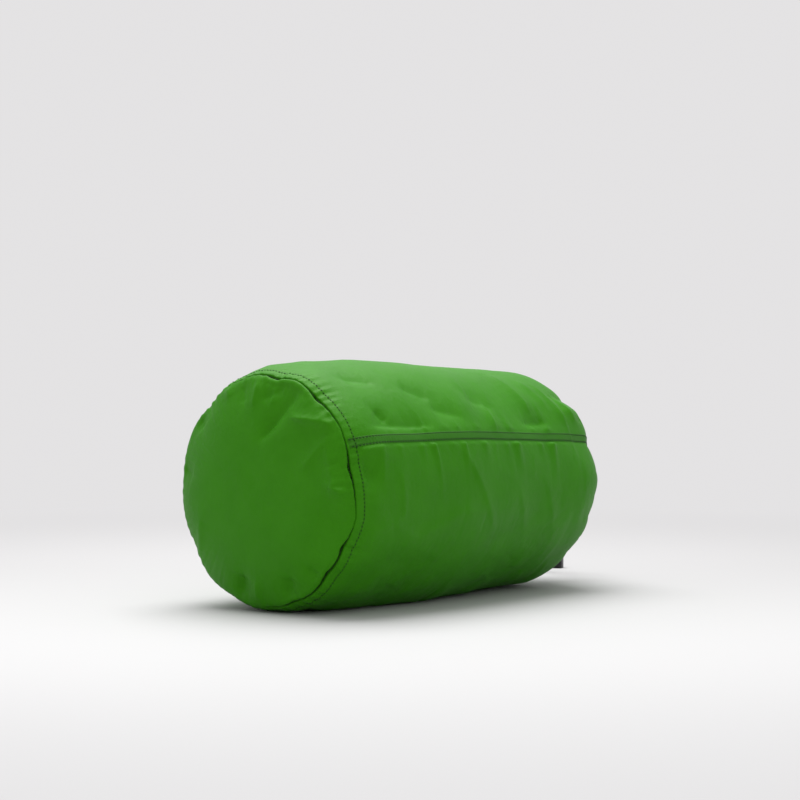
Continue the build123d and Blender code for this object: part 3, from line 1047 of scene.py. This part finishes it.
    def _hang(self, across: Array, d: Array) -> Array:
        """The felled seam's drag: the cloth stands up beside it in short leaning ripples, most of all below.

        Each ripple is exp(-(v / wide)^2 - across / deep), with v the distance from its own leaning line.
        """
        pull = np.zeros_like(d)
        for index, place in enumerate(self.ripples):
            lean = d / MM - place - 0.16 * (across / MM) * math.sin(index * 2.4)
            wide = 3.1 + 1.1 * math.sin(index * 4.3)
            deep = (9.5 + 5 * math.sin(index * 1.7)) * MM
            strength = 0.8 + 0.7 * math.sin(index * 2.3)
            pull += np.exp(-((lean / wide) ** 2) - np.abs(across) / deep) * strength
        beside = smoothstep(0.0036, 0.007, across) + 0.4 * smoothstep(0.0036, 0.007, -across)
        return beside * MM * (self.ripple_height * pull + 1.1 * np.exp(-np.abs(across) / 0.006))

    def _puckers(self, d: Array, a: Array) -> Array:
        """The base seam's puckers, its sewn-down band and the groove under the topstitch."""
        pucker = Waves(31, 10, (60, 96), (2, 10)).relief(d, a)
        slow = 0.65 + 0.5 * Waves(8, 5, (3, 9), (1, 4)).relief(d, a)
        relief = 0.42 * pucker * slow * np.exp(-np.maximum(d - 0.008, 0) / 0.005)
        band = 1 - smoothstep(*self.band_end, d)
        groove = np.exp(-(((d - self.topstitch) / 0.0008) ** 2))
        return MM * (relief + self.band_height * (band - groove))

    def _base_skin(self) -> Skin:
        """The base panel from its middle to its seam."""
        form = self.form
        angle = angles_round(form.columns)
        profile, distances = form.profile(form.base_profile, form.base_rows)
        distances += profile[0, 1]
        d, a = net(distances, angle)
        rim = distances[-1]
        near = np.exp((d - rim) / form.pinch_reach)
        inward, shift = form.pinched(a)
        flat = form.rings(profile, angle)
        across, along = flat[..., 1], flat[..., 2] - form.axis_height
        relief = 0.8 * MM * Waves(14, 8, (0, 0), (3, 14)).relief(across + 0.6 * along, 0 * a)
        relief += 0.5 * MM * Waves(17, 8, (0, 0), (4, 18)).relief(along - 0.5 * across, 0 * a)
        relief *= 1 - smoothstep(rim - 0.006, rim, d)
        radial = np.stack([np.zeros_like(a), -np.sin(a), np.cos(a)], axis=-1)
        grid = form.raised(profile, angle, relief) - radial * (inward * near)[..., None]
        grid[..., 0] += shift * near
        grid = self._settled_base(form.grounded(grid), distances, angle)
        grid, distances = form.refine(grid, distances)
        d, a = net(distances, angles_round(grid.shape[1]))
        relief = 0.2 * MM * Waves(41, 10, (50, 84), (2, 8)).relief(d, a) * np.exp((d - rim) / 0.006)
        for crease in self.base_creases:
            relief += crease.relief(-d * np.sin(a), d * np.cos(a)) * (1 - smoothstep(rim - 0.005, rim, d))
        return Skin(form.resting(grid + grid_normals(grid) * relief[..., None]), distances)

    def _settled_base(self, grid: Array, distances: Array, angle: Array) -> Array:
        """Crumple the base panel: it was cut as a flat disc, a little wider than the seam that holds it."""
        form, spare, rim = self.form, 1.01, distances[-1]
        cut = form.rings(np.stack([np.full(len(grid), form.seam_x), spare * distances], axis=1), angle)
        middle = (grid[0].mean(axis=0), np.array([form.seam_x, 0, form.axis_height]))
        pinned = smoothstep(rim - 0.006, rim - 0.001, distances)
        return ClothRelax(cap=0.002).run(grid, cut, pinned, middle)

    def _tucked(
        self, edge: Array, outward: Array, away: Array, steps: Sequence[tuple[float, float]]
    ) -> Array:
        """Rows that turn an edge in to the seam.

        Args:
            edge: the piece's last row.
            outward: directions out of the cloth along it.
            away: directions off the piece.
            steps: how far each row lies away and down, in millimetres.

        Returns:
            The rows, a little further away where the seam lies shut and a little less far where it gapes.
        """
        share = (1.14 - 0.24 * self.form.gape(angles_round(len(edge))))[:, None]
        return np.stack([edge + (away * share * out - outward * down) * MM for out, down in steps])

    def build_tube(self, finish: Any) -> Any:
        """Make the tube with its edge turned in at the base seam."""
        normals = grid_normals(self.tube.grid)
        steps = ((1.1, 5.0), (1.15, 2.4), (1.1, 1.2), (0.85, 0.5), (0.5, 0.15))
        away = -unit(self.tube.grid[1] - self.tube.grid[0])
        lip = self._tucked(self.tube.grid[0], normals[0], away, steps)
        grid = np.concatenate([lip, self.tube.grid])
        along = np.concatenate([self.tube.distances[0] - np.array([6, 4, 3, 2, 1]) * MM, self.tube.distances])
        rows, columns = grid.shape[:2]
        uv = band_uv(along, columns, self.form.cut_radius)
        piece = mesh_piece("sack_tube", grid.reshape(-1, 3), grid_quads(rows, columns), None, uv)
        return self._filled(piece, finish, "body_panel")

    def build_base(self, finish: Any) -> Any:
        """Make the base panel, closed at its middle and turned in at its seam."""
        normals = grid_normals(self.base.grid)
        steps = ((0.5, 0.12), (0.85, 0.45), (1.15, 1.1), (1.25, 2.2), (1.2, 4.6))
        away = unit(self.base.grid[-1] - self.base.grid[-2])
        lip = self._tucked(self.base.grid[-1], normals[-1], away, steps)
        grid = np.concatenate([self.base.grid, lip])
        rows, columns = grid.shape[:2]
        points = np.concatenate([grid.reshape(-1, 3), grid[0].mean(axis=0)[None]])
        faces, fan = grid_quads(rows, columns), pole_fan(rows * columns, columns)
        piece = mesh_piece("sack_base", points, faces, fan, points[:, 1:3].copy())
        return self._filled(piece, finish, "base_panel")

    def _filled(self, piece: Any, finish: Any, node: str) -> Any:
        """Dress a piece and put it in its node's place."""
        dressed(piece, finish, node)
        return piece


# ---------------------------------------------------------------- stitches


@dataclass
class StitchRow:
    """Separate lockstitches: short rounded threads whose ends dive into the cloth.

    arch is how high the middle of a stitch stands and sink how deep it lies, both in thicknesses.
    """

    length: float = 0.0016
    thickness: float = 0.0007
    arch: float = 0.7
    sink: float = 0.55
    rings: int = 7
    sides: int = 8

    def template(self) -> tuple[Array, Array]:
        """One stitch along its first axis, with its third axis outwards.

        The thread's middle line is an arch, 1 - t^4, and its section a circle that narrows to the ends.
        """
        t = np.linspace(-1, 1, self.rings)[:, None]
        turn = angles_round(self.sides)[None]
        radius = 0.5 * self.thickness * np.sqrt(np.maximum(1 - np.abs(t) ** 6, 0.04))
        x = t * self.length / 2 + 0 * turn
        y = radius * np.cos(turn)
        z = radius * np.sin(turn) + self.thickness * self.arch * (1 - t**4) - self.thickness * self.sink
        points = np.stack([x, y, z], axis=-1)
        points[[0, -1]] = points[[0, -1]].mean(axis=1, keepdims=True)
        return points.reshape(-1, 3), grid_quads(self.rings, self.sides)[:, ::-1]

    def build(self, name: str, places: Array, outward: Array, along: Array) -> Any:
        """Copy the stitch to every place, turned to its directions."""
        shape, faces = self.template()
        axes = np.stack([along, np.cross(outward, along), outward], axis=1)
        points = places[:, None] + np.einsum("vk,nkc->nvc", shape, axes)
        offsets = (np.arange(len(places)) * len(shape))[:, None, None]
        faces = (faces[None] + offsets).reshape(-1, 4)
        return turned_outwards(mesh_piece(name, points.reshape(-1, 3), faces))


@dataclass
class Seams:
    """The felled strip and every row of stitches on the sack.

    The strip comes out of the base seam between start and out_by, and sinks into the gathers before tip.
    bed and clear are the heights of its underside and of its thin edges above the tube.
    """

    cloth: SackCloth
    pitch: float = 0.0027
    row_distance: float = 0.0052
    margin: float = 0.001
    bed: float = 0.00002
    clear: float = 0.00006
    thread_rise: float = 0.00012
    topstitch_rise: float = 0.00008
    height: float = 0.00036
    groove: float = 0.00026
    groove_width: float = 0.0005
    ripple: float = 0.00009
    start: float = 0.0019
    out_by: float = 0.0045
    sinks: tuple[float, float] = (0.35, 0.366)
    tip: float = 0.3675
    row_ends: tuple[float, float] = (0.0038, 0.352)
    topstitch_radius: float = 0.0855
    step_over: float = 0.0047
    seam_radius: float = 0.081
    seam_depth: float = 0.0012
    tape_depth: float = 0.0078
    tape_half: tuple[float, float] = (0.0034, 0.0008)
    tape_counts: tuple[int, int] = (16, 240)

    def _fell_frame(self, distance: Array, side: Array) -> tuple[Array, Array, Array, Array]:
        """Read the tube beside the felled seam; side is in metres, downwards positive."""
        form, tube = self.cloth.form, self.cloth.tube
        middle = tube.frame(distance, form.fell_angle + 0 * distance)[0]
        radius = np.maximum(np.linalg.norm(middle[..., 1:] - [0, form.axis_height], axis=-1), 0.02)
        return tube.frame(distance, form.fell_angle + side / radius)

    def _base_seam(self, angle: Array) -> tuple[Array, Array, Array]:
        """Half way between the base seam's turned edges: points, and directions outwards and round."""
        cloth, same = self.cloth, np.ones(len(angle))
        tube, tube_out, _, around = cloth.tube.frame(cloth.form.lip * same, angle)
        base, base_out, _, _ = cloth.base.frame(cloth.base.distances[-1] * same, angle)
        return (tube + base) / 2, unit(tube_out + base_out), around

    def build_fell(self, finish: Any) -> Any:
        """Make the folded strip: a low cushion between its two rows, rippled where the thread draws it.

        Across, it is 1 - |w|^9 with w the share of its half width, less a groove exp(-v^2) under each row.
        """
        half = self.row_distance / 2 + self.margin
        distance = np.linspace(self.start, self.tip, 820)
        d, w = net(distance, np.linspace(-half, half, 23))
        edge = 1 - np.abs(w / half) ** 9
        rows = np.exp(-(((np.abs(w) - self.row_distance / 2) / self.groove_width) ** 2))
        ripple = np.cos(2 * math.pi * d / self.pitch + 0.8 * np.sin(d * 190)) * (1 - (w / half) ** 2)
        slow = Waves(61, 6, (0, 0), (20, 70)).relief(d, 0 * d)
        lift = self.height * edge - self.groove * rows + self.ripple * ripple * (0.8 + 0.5 * slow)
        lift = lift * smoothstep(self.start, self.out_by, d) * (1 - smoothstep(*self.sinks, d))
        points, outward, _, _ = self._fell_frame(d, w)
        upper = points + outward * (lift + self.clear)[..., None]
        under = (points + outward * self.bed)[:, ::-1]
        grid = np.concatenate([upper, under], axis=1)
        count = grid.shape[1]
        ring, mid = np.arange(count), count // 2
        caps = np.stack([ring[: mid - 1], ring[1:mid], ring[::-1][1:mid], ring[::-1][: mid - 1]], axis=1)
        last = caps[:, ::-1] + (len(distance) - 1) * count
        faces = np.concatenate([grid_quads(len(distance), count), caps, last])
        uv = np.stack([np.concatenate([w, w[:, ::-1]], axis=1).ravel(), np.repeat(distance, count)], axis=1)
        piece = turned_outwards(mesh_piece("side_seam_strip", grid.reshape(-1, 3), faces, None, uv))
        return dressed(piece, finish, "side_seam_fell")

    def build_fell_stitches(self, finish: Any) -> Any:
        """Make both rows of the felled seam."""
        distance = np.arange(*self.row_ends, self.pitch)
        d = np.concatenate([distance, distance + 0.35 * self.pitch])
        side = np.repeat([-1.0, 1.0], len(distance)) * self.row_distance / 2
        points, outward, along, _ = self._fell_frame(d, side)
        lift = self.height - self.groove + self.thread_rise
        piece = StitchRow().build("side_seam_stitches", points + outward * lift, outward, along)
        return dressed(piece, finish, "side_seam_thread")

    def build_topstitch(self, finish: Any) -> Any:
        """Make the row that sews the base seam's edges down to the tube; it steps over the felled seam."""
        count = int(2 * math.pi * self.topstitch_radius / self.pitch)
        angle = angles_round(count, 0.5)
        points, outward, _, around = self.cloth.tube.frame(np.full(count, self.cloth.topstitch), angle)
        past = np.abs(angle_past(angle, self.cloth.form.fell_angle)) * self.topstitch_radius
        lift = self.topstitch_rise + np.where(past < self.step_over, self.height, 0.0)
        piece = StitchRow().build("base_topstitches", points + outward * lift[:, None], outward, around)
        return dressed(piece, finish, "base_topstitch_thread")

    def build_binding(self, finish: Any) -> Any:
        """Make the tape folded over the raw edges inside: a flat loop carried round.

        Its section is (cos, sin) with each kept in sign and raised to the power 0.6.
        """
        sides, columns = self.tape_counts
        angle, turn = angles_round(columns), angles_round(sides)
        middle, outward, _ = self._base_seam(angle)
        centre = middle - outward * self.tape_depth
        waves = np.stack([np.cos(turn), np.sin(turn)])
        tall, wide = np.array(self.tape_half)[:, None] * np.sign(waves) * np.abs(waves) ** 0.6
        ripple = 1 + 0.15 * np.cos(70 * angle)[:, None] * (wide > 0)
        side = np.array([1.0, 0.0, 0.0])
        grid = centre[:, None] + outward[:, None] * tall[None, :, None] + side * (wide * ripple)[..., None]
        points = grid.swapaxes(0, 1).reshape(-1, 3)
        piece = turned_outwards(mesh_piece("base_seam_tape", points, loop_quads(sides, columns)))
        return dressed(piece, finish, "base_seam_binding")

    def build_base_seam(self, finish: Any) -> Any:
        """Make the row in the bottom of the base seam, half way between both turned edges."""
        count = int(2 * math.pi * self.seam_radius / self.pitch)
        middle, outward, around = self._base_seam(angles_round(count, 0.2))
        row = StitchRow(length=0.0024, thickness=0.0006)
        piece = row.build("base_seam_stitches", middle - outward * self.seam_depth, outward, around)
        return dressed(piece, finish, "base_seam_thread")


# ---------------------------------------------------------------- the drawn mouth


@dataclass
class DrawnMouth:
    """The casing, gathered by the cord into a ruffle, with its stitches.

    It begins start before the end of the tube, and its rim stops short of the hem's tip.
    """

    form: SackForm
    inner: float = 0.0098
    outer: float = 0.0238
    width: float = 0.018
    start: float = 0.0005
    short: float = 0.0008
    stitch_depth: float = 0.0035
    stitch_rise: float = 0.0007
    wall: float = 0.0006
    flare: float = 0.0018
    steepness: float = 2.6
    swirl: float = 3.125
    columns: int = 720
    rows: int = 12
    stitches: int = 210

    def _ruffle(self, x: Array, angle: Array, flare: Array | float, offset: Array | float) -> Array:
        """Points of the ruffled casing: radius runs between inner and outer with the sack's own gathers."""
        middle = (self.inner + self.outer) / 2
        depth = (self.outer - self.inner) / 2
        wave = np.clip(self.steepness * self.form.gather(angle) + 0.12, -1.05, 1.1)
        radius = middle + depth * wave * (1 + 0.05 * np.sin(7 * angle)) + flare * (0.6 + 0.5 * wave) + offset
        lean = 0.0006 * np.sin(4 * angle + 1) + 0.0005 * np.sin(9 * angle)
        turn = angle + self.swirl * (radius - middle) * np.sin(2 * angle + 0.5)
        y, z = -radius * np.sin(turn), self.form.axis_height + radius * np.cos(turn)
        return np.stack([x + lean * (x - self.form.end_x) / self.width, y, z], axis=-1)

    def build_casing(self, finish: Any) -> Any:
        """Make the casing as one folded band: its outside, its rounded rim and its inside.

        It flares with the square of the share of the way to its rim, and the cord draws a ring of it in.
        """
        form, wall = self.form, self.wall
        start, tip = form.end_x - self.start, form.tip_x - self.short
        out, rim = np.linspace(0, 1, self.rows), np.linspace(0, math.pi, 7)[1:-1]
        x = np.concatenate([start + (tip - start) * out, tip + wall * np.sin(rim), tip - (tip - start) * out])
        offset = wall * np.concatenate([np.ones(self.rows), np.cos(rim), -np.ones(self.rows)])
        share = np.clip((x - start) / (tip - start), 0, 1)
        flare = self.flare * share**2 - 0.0012 * np.exp(-(((share - 0.42) / 0.16) ** 2))
        xs, a = net(x, angles_round(self.columns))
        grid = self._ruffle(xs, a, flare[:, None], offset[:, None])
        uv = band_uv(lengths_along(np.stack([x, 0 * x], axis=1)), self.columns, form.cut_radius)
        faces = loop_quads(len(x), self.columns)
        piece = mesh_piece("mouth_casing", grid.reshape(-1, 3), faces, None, uv)
        return dressed(piece, finish, "mouth_hem")

    def build_stitches(self, finish: Any) -> Any:
        """Make the casing's stitches, a short row over the crest of every gather."""
        angle = angles_round(self.stitches)
        x = np.full(self.stitches, self.form.tip_x - self.stitch_depth)
        flare, rise = self.flare * 0.65, self.stitch_rise
        here, ahead = (self._ruffle(x, angle + step, flare, rise) for step in (0.0, 0.004))
        around = unit(ahead - here)
        outward = unit(np.cross(around, np.array([1.0, 0, 0])))
        crest = self.steepness * self.form.gather(angle) > 0.1
        row = StitchRow(length=0.0019, thickness=0.00045)
        piece = row.build("casing_stitches", here[crest], outward[crest], around[crest])
        return dressed(piece, finish, "hem_thread")


# ---------------------------------------------------------------- cord


class Side(Enum):
    """Which of the two ends of the drawcord."""

    LEFT = "left"
    RIGHT = "right"


@dataclass
class DrawcordTail:
    """One free end of the drawcord: a braided tube along a smooth curve."""

    side: Side
    route: tuple[tuple[float, float, float], ...]
    diameter: float = 0.003
    relief: float = 0.00009
    strands: int = 8
    pitch: float = 0.0052
    ring_pitch: float = 0.00042
    sides: int = 32

    def _line(self) -> Array:
        """The middle line: a NURBS curve of order 3 with the route as its control points."""
        curve = bpy.data.curves.new("route", "CURVE")
        curve.dimensions = "3D"
        curve.resolution_u = 24
        spline = curve.splines.new("NURBS")
        spline.points.add(len(self.route) - 1)
        flat = [value for point in self.route for value in (*point, 1.0)]
        spline.points.foreach_set("co", flat)
        spline.order_u = 3
        spline.use_endpoint_u = True
        holder = bpy.data.objects.new("route", curve)
        bpy.context.scene.collection.objects.link(holder)
        bpy.context.view_layer.update()
        mesh = bpy.data.meshes.new_from_object(holder)
        points = np.empty(len(mesh.vertices) * 3)
        mesh.vertices.foreach_get("co", points)
        bpy.data.objects.remove(holder)
        bpy.data.meshes.remove(mesh)
        return points.reshape(-1, 3)

    def build(self, finish: Any, on_it: Sequence[Any]) -> Any:
        """Make the braid: radius r + a cos(u + v) cos(u - v), which raises crossing strands.

        Args:
            finish: the braid's material.
            on_it: the pieces that sit on the cord's far end; not used.

        Returns:
            The cord's end.
        """
        line = self._line()
        length = lengths_along(line)[-1]
        count = int(length / self.ring_pitch)
        line = evenly(line, count)
        for _ in range(3):
            line[1:-1] = (line[:-2] + 2 * line[1:-1] + line[2:]) / 4
        wanted = np.linspace(0, length, count)
        forward = unit(np.gradient(line, axis=0))
        sideways = unit(np.cross(np.array([0.0, 0.0, 1.0]), forward))
        upward = np.cross(forward, sideways)
        u, v = (4 * math.pi * wanted / self.pitch)[:, None], angles_round(self.sides)[None]
        strand = np.cos(u + self.strands / 2 * v) * np.cos(u - self.strands / 2 * v)
        radius = self.diameter / 2 - self.relief + self.relief * strand
        ring = np.cos(v)[..., None] * sideways[:, None] + np.sin(v)[..., None] * upward[:, None]
        grid = line[:, None] + ring * radius[..., None]
        points = np.concatenate([grid.reshape(-1, 3), line[:1], line[-1:]])
        girth = math.pi * self.diameter * np.arange(self.sides) / self.sides
        uv = np.stack([np.tile(girth, count), np.repeat(wanted, self.sides)], axis=1)
        uv = np.concatenate([uv, uv[:2]])
        faces = grid_quads(count, self.sides)[:, ::-1]
        name = f"drawcord_{self.side.value}_end"
        piece = turned_outwards(mesh_piece(name, points, faces, end_fans(count, self.sides), uv))
        dressed(piece, finish, f"drawcord_tail_{self.side.value}")
        return piece


LEFT_ROUTE = (
    (0.1887, 0.0016, 0.069), (0.196, 0.0016, 0.069), (0.214, 0.0016, 0.069), (0.224, 0.017, 0.048),
    (0.222, 0.042, 0.022), (0.212, 0.068, 0.0016), (0.201, 0.095, 0.0016), (0.203, 0.124, 0.0016),
    (0.226, 0.140, 0.0016), (0.249, 0.127, 0.0016), (0.2524, 0.0955, 0.0045), (0.26385, 0.0707, 0.0045),
)
RIGHT_ROUTE = (
    (0.1887, -0.0016, 0.069), (0.196, -0.0016, 0.069), (0.217, -0.0016, 0.069), (0.231, 0.013, 0.047),
    (0.231, 0.040, 0.021), (0.221, 0.066, 0.0016), (0.213, 0.092, 0.0016), (0.216, 0.115, 0.0016),
    (0.232, 0.125, 0.0016), (0.246, 0.112, 0.0016), (0.2507, 0.0914, 0.0045), (0.26095, 0.0693, 0.0045),
)


# ---------------------------------------------------------------- what is inside


@dataclass
class PackedLoad:
    """Clothing pressed into the sack, seen only through the drawn mouth."""

    form: SackForm
    columns: int = 160
    rows: int = 120
    lowest: float = 0.0024
    outline: tuple[tuple[float, float], ...] = (
        (-6.5, 3), (-6.0, 34), (-4.2, 60), (0.5, 72), (8, 76.5), (30, 83), (64, 86), (128, 86.6), (192, 83.4),
        (250, 81), (280, 76), (296, 62), (306, 46), (312, 28), (314.5, 14), (315, 4),
    )

    def build(self, finish: Any) -> Any:
        """Make a closed crumpled form inside the cloth."""
        form, columns = self.form, self.columns
        angle = angles_round(columns)
        profile, distances = form.profile(self.outline, self.rows)
        d, a = net(distances, angle)
        crumple = Waves(71, 12, (2, 9), (8, 30)).relief(d, a)
        small = 1 - np.abs(Waves(73, 12, (6, 20), (20, 70)).relief(d, a))
        grid = form.raised(profile, angle, MM * (0.7 * crumple + 0.7 * small - 1.6))
        grid = form.resting(grid, self.lowest, 0.001)
        ends = np.stack([grid[0].mean(axis=0), grid[-1].mean(axis=0)])
        points = np.concatenate([grid.reshape(-1, 3), ends])
        uv = np.concatenate([band_uv(distances, columns, form.cut_radius), np.zeros((2, 2))])
        faces, fans = grid_quads(len(distances), columns), end_fans(len(distances), columns)
        piece = mesh_piece("packed_clothing", points, faces, fans, uv)
        dressed(piece, finish, "packed_load")
        return piece


# ---------------------------------------------------------------- studio


@dataclass
class Studio:
    """Pale floor, soft light and the camera."""

    eye: tuple[float, float, float] = (-1.1844, -0.9766, 0.1525)
    gaze: tuple[float, float, float] = (0.7672, 0.6414, -0.00276)
    lens: float = 90.92
    sensor: float = 36.0
    lamp_place: tuple[float, float, float] = (0.16, 0.3, 1.46)
    lamp_aim: tuple[float, float, float] = (0.0, 0.0, 0.05)
    lamp_size: float = 1.2
    lamp_power: float = 31.0
    surroundings: tuple[float, float, float, float] = (0.775, 0.765, 0.772, 1.0)
    floor_reach: float = 20.0

    def _aimed(self, name: str, data: Any, place: tuple[float, float, float], forward: Vector) -> Any:
        """Add a camera or lamp at a place, looking along forward with its top up."""
        thing = bpy.data.objects.new(name, data)
        bpy.context.scene.collection.objects.link(thing)
        back = -forward.normalized()
        right = Vector((0, 0, 1)).cross(back).normalized()
        turn = Matrix((right, back.cross(right), back)).transposed().to_4x4()
        thing.matrix_world = Matrix.Translation(Vector(place)) @ turn
        return thing

    def build_camera(self) -> None:
        """Make the camera and choose it."""
        data = bpy.data.cameras.new("camera")
        data.lens = self.lens
        data.sensor_width = self.sensor
        data.clip_end = 60.0
        bpy.context.scene.camera = self._aimed("camera", data, self.eye, Vector(self.gaze))

    def build_light(self) -> None:
        """Make the overhead softbox and the pale surroundings."""
        data = bpy.data.lights.new("overhead", "AREA")
        data.shape = "SQUARE"
        data.size = self.lamp_size
        data.energy = self.lamp_power
        self._aimed("overhead", data, self.lamp_place, Vector(self.lamp_aim) - Vector(self.lamp_place))
        world = bpy.data.worlds.new("studio")
        world.use_nodes = True
        background = world.node_tree.nodes["Background"]
        background.inputs[0].default_value = self.surroundings
        background.inputs[1].default_value = 1.0
        bpy.context.scene.world = world
        bpy.context.scene.view_settings.view_transform = "Standard"

    def build_floor(self) -> None:
        """Make the floor."""
        signs = np.array([(-1, -1, 0), (1, -1, 0), (1, 1, 0), (-1, 1, 0)], float)
        floor = mesh_piece("floor", signs * self.floor_reach, np.array([[0, 1, 2, 3]]))
        floor.data.materials.append(PaleFloor().material())


# ---------------------------------------------------------------- the whole


def redress(frame: dict[str, Any], finish: Any, names: Iterable[str]) -> None:
    """Give carried-over parts their finish."""
    for name in names:
        mesh = frame["nodes"][name].data
        mesh.materials.clear()
        mesh.materials.append(finish)
        log.info("finished %s", name)


def corners(box: Any) -> list[list[float]]:
    """A box as plain lists of numbers."""
    return [[float(value) for value in corner] for corner in box]


def main() -> None:
    """Build every piece around the frame."""
    logging.basicConfig(level=logging.INFO, format="%(message)s")
    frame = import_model()
    studio = Studio()
    studio.build_camera()
    nylon = CoatedNylon().material()
    tube_nylon = CoatedNylon("tube_nylon", rows_along=(SackCloth.topstitch,)).material()
    strip_green, strip_worn = (0.024, 0.145, 0.005), (0.028, 0.16, 0.007)
    half = Seams.row_distance / 2
    strip_nylon = CoatedNylon("strip_nylon", strip_green, strip_worn, rows_across=(-half, half)).material()
    thread = SewingThread("green_thread").material()
    braid = BraidedCord().material()
    plastic = MouldedPlastic().material()
    cotton = BrushedCotton().material()
    tape = SewingThread("woven_tape", (0.02, 0.09, 0.012), 0.0006).material()
    on_cord = [frame["nodes"][name] for name in ("cord_end_shell", "cord_end_cover", "tail_knot")]
    for side, route in ((Side.LEFT, LEFT_ROUTE), (Side.RIGHT, RIGHT_ROUTE)):
        piece = DrawcordTail(side, route).build(braid, on_cord)
        log.info("made %s", piece.name)
    low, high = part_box("body_panel")
    _, hem_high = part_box("mouth_hem")
    form = SackForm(seam_x=low.x, end_x=high.x, tip_x=hem_high.x)
    cloth = SackCloth(form)
    seams = Seams(cloth)
    mouth = DrawnMouth(form)
    makers: tuple[tuple[Callable[[Any], Any], Any], ...] = (
        (cloth.build_tube, tube_nylon),
        (cloth.build_base, nylon),
        (seams.build_fell, strip_nylon),
        (seams.build_fell_stitches, thread),
        (seams.build_topstitch, thread),
        (seams.build_base_seam, thread),
        (seams.build_binding, tape),
        (mouth.build_casing, nylon),
        (mouth.build_stitches, thread),
        (PackedLoad(form).build, cotton),
    )
    for make, finish in makers:
        piece = make(finish)
        log.info("made %s with %d faces", piece.name, len(piece.data.polygons))
    redress(frame, thread, ("cord_buttonhole",))
    redress(frame, braid, ("drawcord_loop", "tail_knot"))
    redress(frame, plastic, ("cord_lock_body", "cord_lock_plunger", "cord_end_shell", "cord_end_cover"))
    redress(frame, SpringWire().material(), ("cord_lock_spring",))
    studio.build_floor()
    studio.build_light()


if __name__ == "__main__":
    main()
